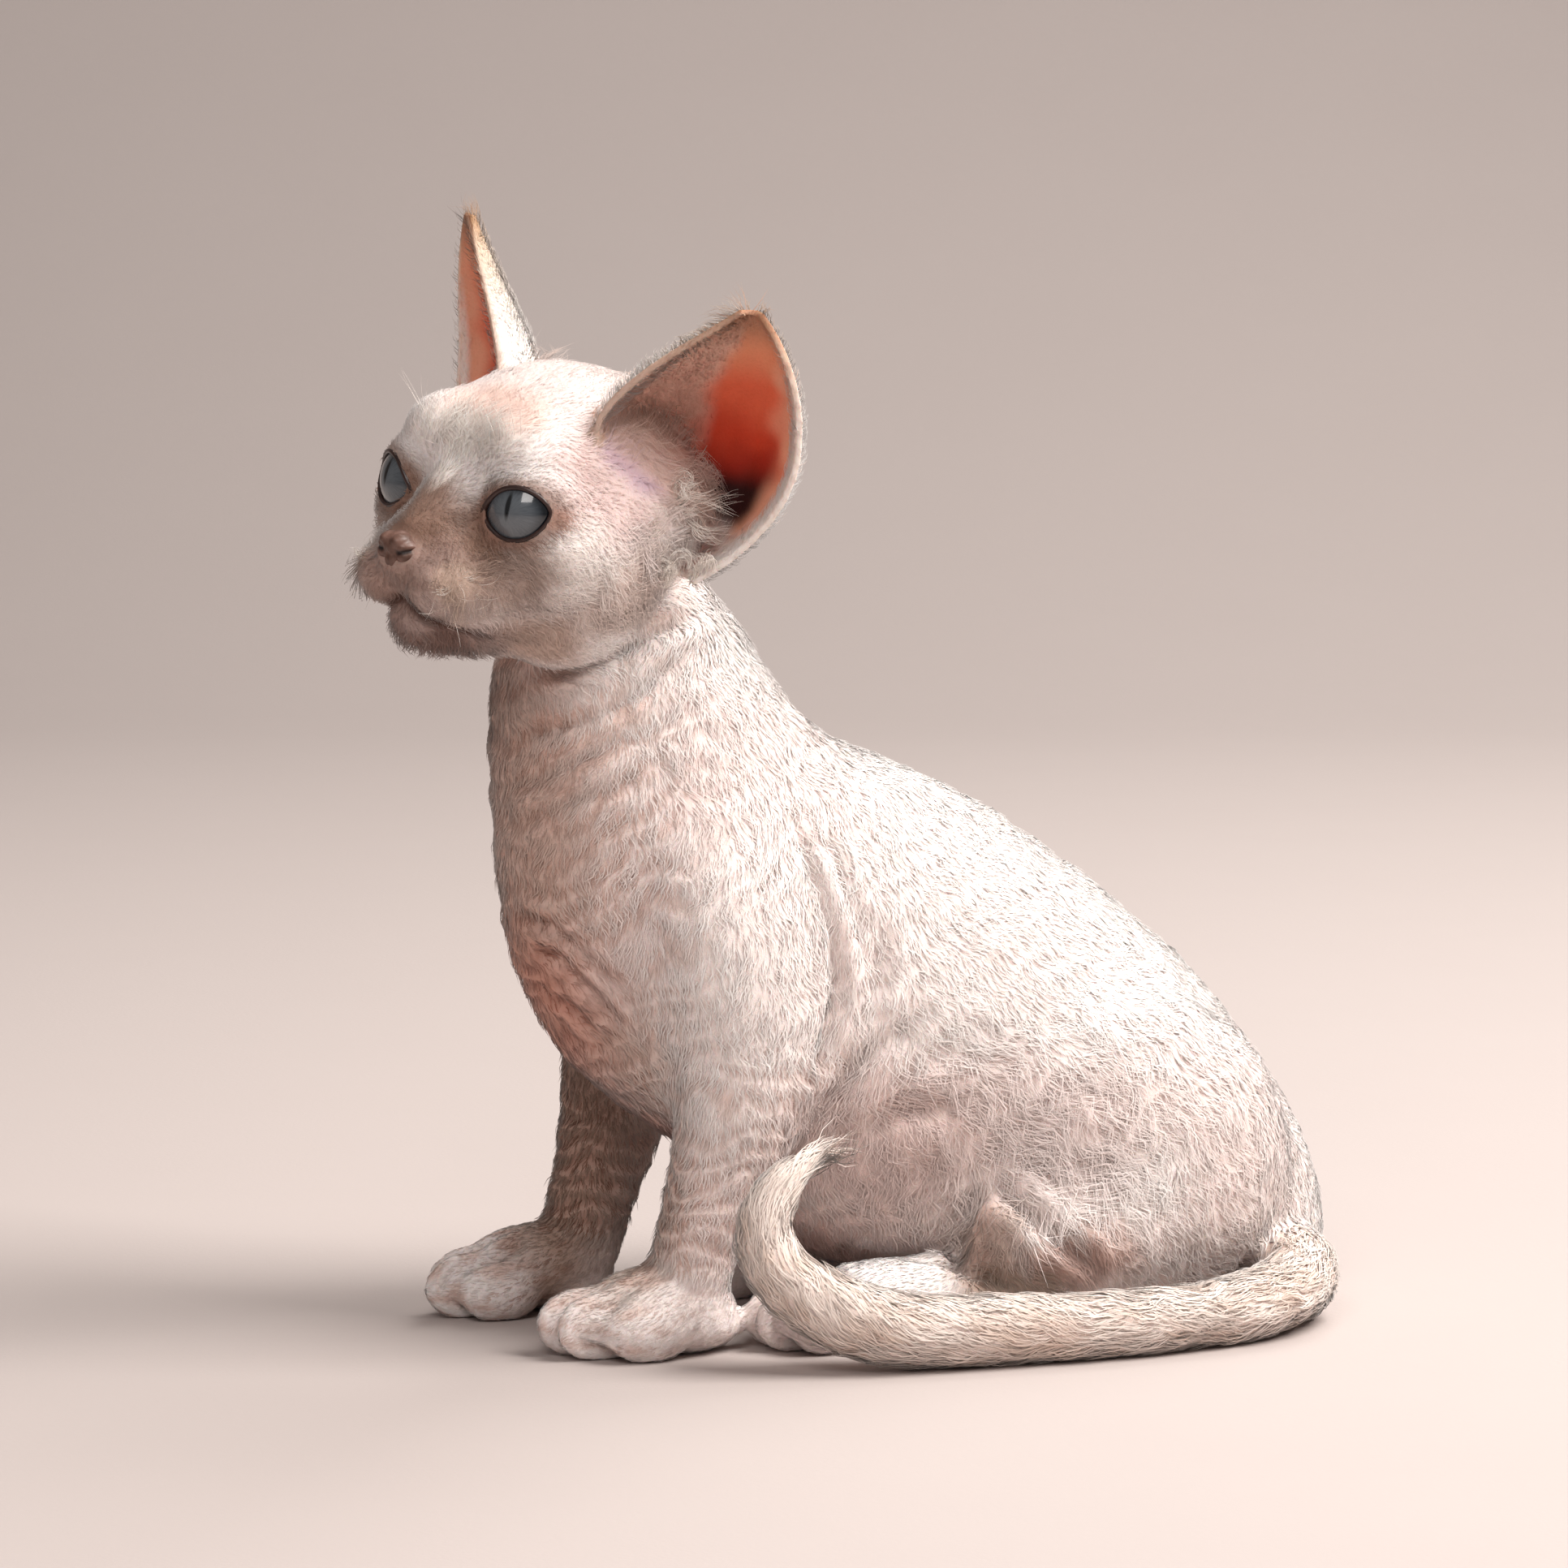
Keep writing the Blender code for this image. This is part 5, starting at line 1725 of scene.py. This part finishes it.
@dataclass(frozen=True)
class Eyes:
    """The eyeballs and the dark rims of the lids, in the frame of the head."""

    centre: Triple = (16.6, 15.8, -1.0)
    radius: float = 10.5
    outward: float = 20.0
    upward: float = 4.0
    half_length: float = 7.3
    upper: float = 5.15
    lower: float = 5.5
    draw: float = 0.06
    lid: float = 0.75
    slant: float = 10.0
    gaze_out: float = 14.0
    gaze_up: float = 3.0
    cornea: float = 0.7
    rim: float = 0.42
    inset: float = 0.25
    rings: int = 56
    sides: int = 72
    rim_sides: int = 10

    def axes(self, side: float) -> tuple[Array, Array, Array, Array]:
        """Centre of an eye and its forward, outward and upward directions, with the lids' slant."""
        out, rise = math.radians(self.outward), math.radians(self.upward)
        look = Vector((math.cos(out) * math.cos(rise), side * math.sin(out), math.sin(rise)))
        look.normalize()
        outward = Vector((-look.y, look.x, 0)).normalized() * side
        upward = look.cross(outward) * side
        slant = math.radians(self.slant)
        along = outward * math.cos(slant) + upward * math.sin(slant)
        over = upward * math.cos(slant) - outward * math.sin(slant)
        centre = np.array(self.centre) * mirror(side)
        return centre, np.array(look), np.array(along), np.array(over)

    def away(self, head: Array) -> Array:
        """How far places lie from the openings of the lids: 1 on a rim and less inside it."""
        least = np.full(len(head), FAR)
        for side in SIDES:
            centre, look, along, over = self.axes(side)
            off = head - centre
            rise = off @ over
            rise = rise / np.where(rise > 0, self.upper, self.lower)
            near = (off @ look > 0) & (np.linalg.norm(off, axis=1) < self.radius + 6.0)
            reach = np.hypot((off @ along) / self.half_length, rise)
            least = np.where(near, np.minimum(least, reach), least)
        return least

    def close(self, head: Array, normals: Array) -> Array:
        """Draws the edges of the lids in and keeps their skin clear of the eyeballs.

        Args:
            head: Rows of places of the skin in the frame of the head.
            normals: The outward direction of each.

        Returns:
            The moved places.
        """
        moved = head.copy()
        for side in SIDES:
            centre, look, *_ = self.axes(side)
            off = moved - centre
            reach = np.linalg.norm(off, axis=1)
            near = (off @ look > 0.3 * reach) & (reach < self.radius + 5.0)
            e = self.away(moved)
            pull = self.draw * np.exp(-(((e - 1.05) / 0.4) ** 2))
            ahead = (off @ look)[:, None] * look
            drawn = unit(ahead + (off - ahead) * (1.0 - pull)[:, None])
            outer = (normals * drawn).sum(1) > 0.1
            reach = np.where(outer, np.maximum(reach, self.radius + self.lid), reach)
            moved = np.where(near[:, None], centre + drawn * reach[:, None], moved)
        return moved

    def gaze(self, side: float) -> tuple[Array, Array, Array]:
        """The way an eye looks, the way across it and the way up it."""
        out, rise = math.radians(self.gaze_out), math.radians(self.gaze_up)
        look = np.array([math.cos(out) * math.cos(rise), side * math.sin(out), math.sin(rise)])
        across = unit(np.cross(np.array([0.0, 0.0, 1.0]), look))
        return look, across, np.cross(look, across)

    def ball(self, side: float, name: str) -> bpy.types.Object:
        """One eyeball, with its pole towards the gaze and a clear bulge at the front."""
        centre, *_ = self.axes(side)
        look, across, over = self.gaze(side)
        rings, sides = self.rings, self.sides
        theta = np.linspace(0, math.pi, rings + 1)[1:-1]
        turn = turns(sides)
        bulge = 1.0 + self.cornea / self.radius * np.exp(-((theta / 0.62) ** 2))
        radial = (self.radius - self.inset) * bulge
        flat = np.sin(theta)[:, None]
        body = (
            look * (np.cos(theta) * radial)[:, None, None]
            + (flat * np.cos(turn) * radial[:, None])[..., None] * across
            + (flat * np.sin(turn) * radial[:, None])[..., None] * over
        )
        pole = (self.radius - self.inset) * (1.0 + self.cornea / self.radius)
        points = np.vstack([look * pole, body.reshape(-1, 3), -look * (self.radius - self.inset)])
        uv = np.vstack(
            [
                [[0.0, 0.0]],
                np.stack([flat * np.cos(turn), flat * np.sin(turn)], -1).reshape(-1, 2),
                [[1.0, 0.0]],
            ]
        )
        ahead = np.concatenate([[1.0], np.repeat(np.cos(theta), sides), [-1.0]]) > 0
        uv = np.where(ahead[:, None], uv, unit(uv + 1e-6) * 1.5)
        faces = globe_faces(rings, sides)
        mesh = shaped(name, PLACE.metres(PLACE.from_head(points + centre)), faces)
        mark_map(mesh, "Iris", uv[faces.reshape(-1)])
        return placed(name, mesh)

    def rim_line(self, side: float) -> Array:
        """The closed line along which the lids meet the eyeball."""
        centre, look, along, over = self.axes(side)
        turn = turns(self.sides)
        a = self.half_length * np.cos(turn)
        h = np.sin(turn) * np.where(np.sin(turn) > 0, self.upper, self.lower)
        h = h * (1.0 - 0.25 * np.abs(np.cos(turn)) ** 3)
        a = a * (1.0 + 0.10 * np.maximum(0.0, -np.cos(turn)) ** 6)
        reach = self.radius + self.rim
        depth = np.sqrt(np.maximum(reach**2 - a**2 - h**2, 1.0))
        return centre + a[:, None] * along + h[:, None] * over + depth[:, None] * look

    def rims(self) -> bpy.types.Object:
        """The dark rims of all four lids as two closed rings."""
        points, faces, start = [], [], 0
        sides = self.rim_sides
        for side in SIDES:
            line = self.rim_line(side)
            centre, *_ = self.axes(side)
            ahead = unit(np.roll(line, -1, 0) - np.roll(line, 1, 0))
            out = unit(line - centre)
            beside = np.cross(ahead, out)
            turn = turns(len(line))
            corner = 1.0 + 0.7 * np.maximum(0.0, -np.cos(turn)) ** 4
            corner += 0.25 * np.maximum(0.0, np.sin(turn)) ** 2
            for a in turns(sides):
                ring = beside * (self.rim * math.cos(a)) + out * (self.rim * math.sin(a))
                points.append(line + ring * corner[:, None])
            count = len(line)
            for j in range(sides):
                k = (j + 1) % sides
                a, b = start + j * count, start + k * count
                for i in range(count):
                    m = (i + 1) % count
                    faces.append((a + i, a + m, b + m, b + i))
            start += sides * count
        mesh = Net(PLACE.from_head(np.concatenate(points)), np.array(faces)).mesh("lid_rims")
        outward(mesh)
        store(mesh, "depth", np.zeros(len(mesh.vertices)))
        return placed("lid_rims", mesh)

    def build(self) -> None:
        """Makes both eyes and the rims, and sets them in the frame."""
        iris = IrisFinish().make()
        for side, name in zip(SIDES, ("left", "right")):
            ball = self.ball(side, "eyeball_" + name)
            ball.data.materials.append(iris)
            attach(ball, ROOT)
            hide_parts("eye_" + name)
        rims = self.rims()
        rims.data.materials.append(
            SkinFinish("lid_rim", "24120e", "452820", 0.42, 0.3, 0.3, 0.3).make()
        )
        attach(rims, ROOT)
        LOG.info("eyes made")


EYES = Eyes()


def turns(count: int) -> Array:
    """The angles of a full turn in equal steps."""
    return np.arange(count) * 2 * math.pi / count


def globe_faces(rings: int, sides: int) -> Array:
    """The triangles of a ball whose points are a pole, rings - 1 rows and the other pole."""
    faces = []
    last = 1 + (rings - 2) * sides
    for j in range(sides):
        k = (j + 1) % sides
        faces.append((0, 1 + j, 1 + k))
        for i in range(rings - 2):
            a, b = 1 + i * sides + j, 1 + i * sides + k
            faces += [(a, a + sides, b + sides), (a, b + sides, b)]
        faces.append((last + j, last + sides, last + k))
    return np.array(faces)


def outward(mesh: bpy.types.Mesh) -> None:
    """Turns the faces of a closed mesh outwards."""
    shape = bmesh.new()
    shape.from_mesh(mesh)
    bmesh.ops.recalc_face_normals(shape, faces=shape.faces)
    shape.to_mesh(mesh)
    shape.free()


def balls(forms: list[tuple[Triple, Triple]]) -> tuple[Array, Array]:
    """The points and the triangles of ellipsoids, each given by a centre and three radii."""
    rings = BALL_SIDES // 2
    theta = np.linspace(0, math.pi, rings + 1)[1:-1]
    turn = turns(BALL_SIDES)
    body = np.stack(
        [
            np.outer(np.sin(theta), np.cos(turn)),
            np.outer(np.sin(theta), np.sin(turn)),
            np.outer(np.cos(theta), np.ones(BALL_SIDES)),
        ],
        -1,
    ).reshape(-1, 3)
    ball = np.vstack([[0, 0, 1], body, [0, 0, -1]])
    faces = globe_faces(rings, BALL_SIDES)
    points = [np.array(centre) + ball * np.array(radii) for centre, radii in forms]
    sides = [faces + i * len(ball) for i in range(len(forms))]
    return np.concatenate(points), np.concatenate(sides)


@dataclass(frozen=True)
class Nose:
    """The bare leather of the nose with its nostrils, in the frame of the head."""

    centre: Triple = (37.8, 0.0, -10.0)
    nostril: Triple = (41.6, 2.4, -11.0)
    voxel: float = 0.24
    rounds: int = 22

    def build(self) -> None:
        """Makes the nose and sets it in the frame."""
        x, _, z = self.centre
        forms = [((x, 0.0, z + 0.3), (4.2, 3.5, 3.0)), ((x + 1.2, 0.0, z - 2.2), (2.5, 1.8, 2.5))]
        for side in SIDES:
            forms.append(((x + 0.4, side * 2.6, z - 0.6), (3.4, 2.5, 2.5)))
            forms.append(((x + 1.2, side * 1.6, z + 1.3), (2.9, 2.0, 1.6)))
        points, faces = balls(forms)
        net = fused(Net(PLACE.from_head(points), faces), self.voxel)
        net.relax(self.rounds)
        head = PLACE.to_head(net.points)
        normals = net.normals()
        lift = np.zeros(len(head))
        # dark is painted shade inside the nostrils, kept as "depth" for the leather's finish.
        dark = np.zeros(len(head))
        for side in SIDES:
            line = np.array([self.nostril, (40.6, 4.3, -10.4), (38.6, 5.0, -9.9)])
            far, along = near_path(head, line * mirror(side))
            wide = 1.05 - 0.6 * along
            lift -= 1.1 * (1.0 - 0.5 * along) * np.exp(-((far / wide) ** 2))
            dark = np.maximum(dark, ease(1.1, 0.35, far / wide))
        split = np.abs(head[:, 1])
        lift -= 0.35 * np.exp(-((split / 0.45) ** 2)) * ease(-9.0, -12.0, head[:, 2])
        net.points += normals * lift[:, None]
        mesh = net.mesh("nose_leather")
        store(mesh, "depth", dark)
        mesh.materials.append(
            SkinFinish("nose_leather", "53372b", "86655a", 0.5, 0.5, 0.32, 0.1).make()
        )
        piece = placed("nose_leather", mesh)
        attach(piece, ROOT)
        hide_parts("nose")
        LOG.info("nose: %d faces", len(net.faces))


NOSE = Nose()


@dataclass(frozen=True)
class Locks:
    """A patch of curled locks in the frame of the head: a run of roots and how they grow."""

    start: Triple
    end: Triple
    way: Triple
    count: int
    length: float
    turn: float
    spread: float = 1.2


LOCKS = (
    Locks((-8, 30, 6), (-14, 28, -6), (-0.3, 0.8, 0.25), 18, 11.5, 6.6, 1.3),
    Locks((2, 28.5, -4), (-7, 28, -14), (-0.6, 0.4, -0.5), 18, 9.5, 4.2, 1.8),
    Locks((-6, 30.5, -13), (-13, 39, -9), (0.1, 0.3, 0.9), 12, 7, 3.4, 1),
    Locks((36, 11.5, -15), (30, 14.5, -19), (-0.4, 0.8, 0.1), 7, 3, 3.4, 1.8),
)


@dataclass
class Hairs:
    """Single hairs: whiskers, long hairs of the brow, and the curls of ears and muzzle."""

    girth: float = 0.085
    thin: float = 0.09
    strands: int = 9
    sides: int = 3

    def __post_init__(self) -> None:
        """Starts the hairs' own chance."""
        self.rng = np.random.default_rng(SEED + 5)

    @staticmethod
    def strand(root: Array, way: Array, axis: Array, length: float, turn: float) -> Array:
        """The line of one hair, which starts under the skin and turns round an axis.

        Args:
            root: Where it leaves the skin, in the frame of the head.
            way: The way it starts.
            axis: What it turns round.
            length: Its length in millimetres.
            turn: How far it turns in all, in radians.

        Returns:
            Rows of places of the kitten.
        """
        steps = 9 if abs(turn) < 2.0 else 16
        way, axis = unit(np.array(way, float)), unit(np.array(axis, float))
        angles = turn * np.arange(steps) / steps
        along = (way @ axis) * axis
        out = way - along
        ways = along + np.outer(np.cos(angles), out)
        ways += np.outer(np.sin(angles), np.cross(axis, out))
        spots = root + np.cumsum(ways, axis=0) * length / steps
        return PLACE.from_head(np.vstack([[root - 0.8 * way], [root], spots]))

    def whiskers(self, side: float) -> Strands:
        """The lines of the whiskers and the brow's hairs on one side, with their girth."""
        rng, found = self.rng, []
        for row in range(3):
            for column in range(4):
                root = np.array(
                    [36.5 - 3.0 * column, side * (9.0 + 1.7 * column), -15.0 - 2.6 * row]
                )
                way = (0.45 - 0.3 * column, side, -0.15 - 0.25 * row + 0.2 * rng.normal())
                length, turn = rng.uniform(5, 12), rng.uniform(0.5, 1.9)
                found.append((self.strand(root, way, rng.normal(size=3), length, turn), self.girth))
        for i in range(5):
            root = np.array([24.0 - 0.6 * i, side * (10.0 + 1.2 * i), 12.5 + 0.3 * i])
            way = (0.45, side * (0.1 * i - 0.1), 1.0 + 0.2 * rng.normal())
            line = self.strand(root, way, rng.normal(size=3), rng.uniform(9, 15), 0.4)
            found.append((line, self.girth * 0.7))
        return found

    def locks(self, side: float) -> Strands:
        """The lines of all curled locks on one side, with their girth."""
        rng, found = self.rng, []
        flip = mirror(side)
        for run in LOCKS:
            for _ in range(run.count):
                root = mixed(np.array(run.start), np.array(run.end), rng.random())
                root = root + rng.normal(0.0, run.spread, 3) * np.array([1.0, 0.3, 1.0])
                way = np.array(run.way) + rng.normal(0.0, 0.25, 3)
                axis = np.array([0.15, 1.0, 0.1]) + rng.normal(0.0, 0.3, 3)
                length = run.length * rng.uniform(0.75, 1.2)
                turn = run.turn * rng.uniform(0.7, 1.2)
                for _ in range(self.strands):
                    start = (root + rng.normal(0.0, 0.33, 3)) * flip
                    line = self.strand(
                        start,
                        (way + rng.normal(0.0, 0.06, 3)) * flip,
                        (axis + rng.normal(0.0, 0.04, 3)) * flip,
                        length * rng.uniform(0.8, 1.1),
                        side * turn * rng.uniform(0.92, 1.08),
                    )
                    found.append((line, self.thin))
        return found

    def tree(self) -> bpy.types.NodeTree:
        """Geometry nodes that turn lines into thin tapered hairs."""
        tree = bpy.data.node_groups.new("hairs", "GeometryNodeTree")
        face = tree.interface
        for name, kind in (("Geometry", "Geometry"), ("Sides", "Int"), ("Finish", "Material")):
            face.new_socket(name, in_out="INPUT", socket_type="NodeSocket" + kind)
        face.new_socket("Geometry", in_out="OUTPUT", socket_type="NodeSocketGeometry")
        add = tree.nodes.new
        start, end = add("NodeGroupInput"), add("NodeGroupOutput")
        curve, ring = add("GeometryNodeMeshToCurve"), add("GeometryNodeCurvePrimitiveCircle")
        sweep, thick = add("GeometryNodeCurveToMesh"), add("GeometryNodeInputNamedAttribute")
        radius = add("GeometryNodeSetCurveRadius")
        real, finish = add("GeometryNodeRealizeInstances"), add("GeometryNodeSetMaterial")
        thick.data_type = "FLOAT"
        thick.inputs["Name"].default_value = "girth"
        ring.inputs["Radius"].default_value = 1.0
        sweep.inputs["Fill Caps"].default_value = True
        for source, out, target, entry in (
            (start, "Geometry", curve, "Mesh"),
            (curve, "Curve", radius, "Curve"),
            (thick, "Attribute", radius, "Radius"),
            (radius, "Curve", sweep, "Curve"),
            (start, "Sides", ring, "Resolution"),
            (ring, "Curve", sweep, "Profile Curve"),
            (thick, "Attribute", sweep, "Scale"),
            (sweep, "Mesh", real, "Geometry"),
            (real, "Geometry", finish, "Geometry"),
            (start, "Finish", finish, "Material"),
            (finish, "Geometry", end, "Geometry"),
        ):
            if entry in target.inputs:
                tree.links.new(source.outputs[out], target.inputs[entry])
        return tree

    def piece(self, name: str, lines: Strands, tree: Any) -> None:
        """Makes one piece of hairs and sets it in the frame."""
        points, edges, girth = [], [], []
        for line, thick in lines:
            start = len(points)
            points.extend(line)
            taper = np.linspace(1.0, 0.15, len(line))
            girth.extend(thick * MM * taper)
            edges += [(start + i, start + i + 1) for i in range(len(line) - 1)]
        mesh = bpy.data.meshes.new(name)
        mesh.from_pydata([tuple(spot) for spot in PLACE.metres(np.array(points))], edges, [])
        store(mesh, "girth", np.array(girth))
        obj = placed(name, mesh)
        maker = obj.modifiers.new("Hairs", "NODES")
        maker.node_group = tree
        values = {"Sides": self.sides, "Finish": self.finish}
        for socket in tree.interface.items_tree:
            if socket.in_out == "INPUT" and socket.name in values:
                maker[socket.identifier] = values[socket.name]
        settled(obj)
        obj.data.polygons.foreach_set("use_smooth", np.ones(len(obj.data.polygons), bool))
        outward(obj.data)
        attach(obj, ROOT)
        LOG.info("%s: %d faces", name, len(obj.data.polygons))

    def build(self) -> None:
        """Makes the whiskers and the curls."""
        self.finish = HairFinish().make()
        tree = self.tree()
        self.piece("whiskers", [one for side in SIDES for one in self.whiskers(side)], tree)
        for side, name in zip(SIDES, ("left", "right")):
            self.piece("curls_" + name, self.locks(side), tree)


@dataclass(frozen=True)
class Studio:
    """Floor, light and camera."""

    azimuth: float = -20.0
    elevation: float = 7.0
    distance: float = 1.25
    target: Triple = (0.0, 0.0, 114.3)
    width_seen: float = 0.32844
    sensor: float = 36.0
    lit: Triple = (0.0, 0.0, 0.11)
    lamps_away: float = 1.5
    wide: float = 9.0
    bend: float = 0.8
    wall: float = 1.1
    high: float = 5.0
    below: float = 0.0002

    @staticmethod
    def aim(obj: bpy.types.Object, at: Vector, azimuth: float, elevation: float, far: float) -> None:
        """Sets an object far from a place, at two angles in degrees, so that it faces the place."""
        a, e = math.radians(azimuth), math.radians(elevation)
        back = Vector((math.sin(a) * math.cos(e), -math.cos(a) * math.cos(e), math.sin(e)))
        obj.location = at + back * far
        obj.rotation_mode = "QUATERNION"
        obj.rotation_quaternion = (-back).to_track_quat("-Z", "Y")

    def camera(self) -> None:
        """Sets the camera at the photograph's angle."""
        data = bpy.data.cameras.new("camera")
        data.sensor_width = data.sensor_height = self.sensor
        data.lens = self.sensor * self.distance / self.width_seen
        data.clip_start, data.clip_end = 0.05, 20.0
        camera = placed("camera", data)
        target = Vector(PLACE.metres(np.array([self.target]))[0])
        self.aim(camera, target, self.azimuth, self.elevation, self.distance)
        bpy.context.scene.camera = camera

    def lamp(self, name: str, azimuth: float, elevation: float, *values: Any) -> None:
        """A soft square light.

        Args:
            name: Its name.
            azimuth: Its azimuth from the camera, to the right, in degrees.
            elevation: Its elevation in degrees.
            *values: Its side in metres, its power in watts and its colour.
        """
        size, power, colour = values
        data = bpy.data.lights.new(name, "AREA")
        data.shape = "SQUARE"
        data.size = size
        data.energy = power
        data.color = paint(colour)
        at = Vector(self.lit)
        self.aim(placed(name, data), at, self.azimuth + azimuth, elevation, self.lamps_away)

    def build(self) -> None:
        """Makes the floor with its wall, the lights and the camera."""
        self.camera()
        turn = np.linspace(0, math.pi / 2, 24)
        bend, wall = self.bend, self.wall
        profile = [(-self.wide, 0.0), (wall, 0.0)]
        profile += [(wall + bend * math.sin(a), bend - bend * math.cos(a)) for a in turn[1:]]
        profile.append((wall + bend, self.high))
        a = math.radians(self.azimuth)
        ahead = np.array([-math.sin(a), math.cos(a), 0.0])
        right = np.array([math.cos(a), math.sin(a), 0.0])
        points, faces = [], []
        for reach, height in profile:
            for side in (-self.wide, self.wide):
                up = np.array([0, 0, height - self.below])
                points.append(ahead * reach + right * side + up)
        for i in range(len(profile) - 1):
            faces.append((2 * i, 2 * i + 1, 2 * i + 3, 2 * i + 2))
        sweep = placed("sweep", shaped("sweep", np.array(points), np.array(faces)))
        sweep.data.materials.append(StageFinish().make())
        self.lamp("window", 74.0, 52.0, 0.9, 38.0, "fffbf7")
        self.lamp("front", -14.0, 40.0, 0.6, 7.0, "fff8f4")
        self.lamp("behind", 146.0, 50.0, 1.0, 15.0, "fffcf8")
        world = bpy.data.worlds.new("studio")
        world.use_nodes = True
        glow = world.node_tree.nodes["Background"].inputs
        glow["Color"].default_value = (0.93, 0.9, 0.89, 1)
        glow["Strength"].default_value = 0.2
        bpy.context.scene.world = world
        bpy.context.scene.view_settings.view_transform = "Standard"
        LOG.info("studio made")


def main() -> None:
    """Builds the kitten's looks in order."""
    logging.basicConfig(level=logging.INFO, format="%(message)s")
    Studio().build()
    hide = Hide()
    hide.fuse()
    hide.sink()
    hide.crease()
    hide.thin()
    hide.comb()
    hide.dress()
    EYES.build()
    NOSE.build()
    Coat(hide).grow()
    Hairs().build()


if __name__ == "__main__":
    main()
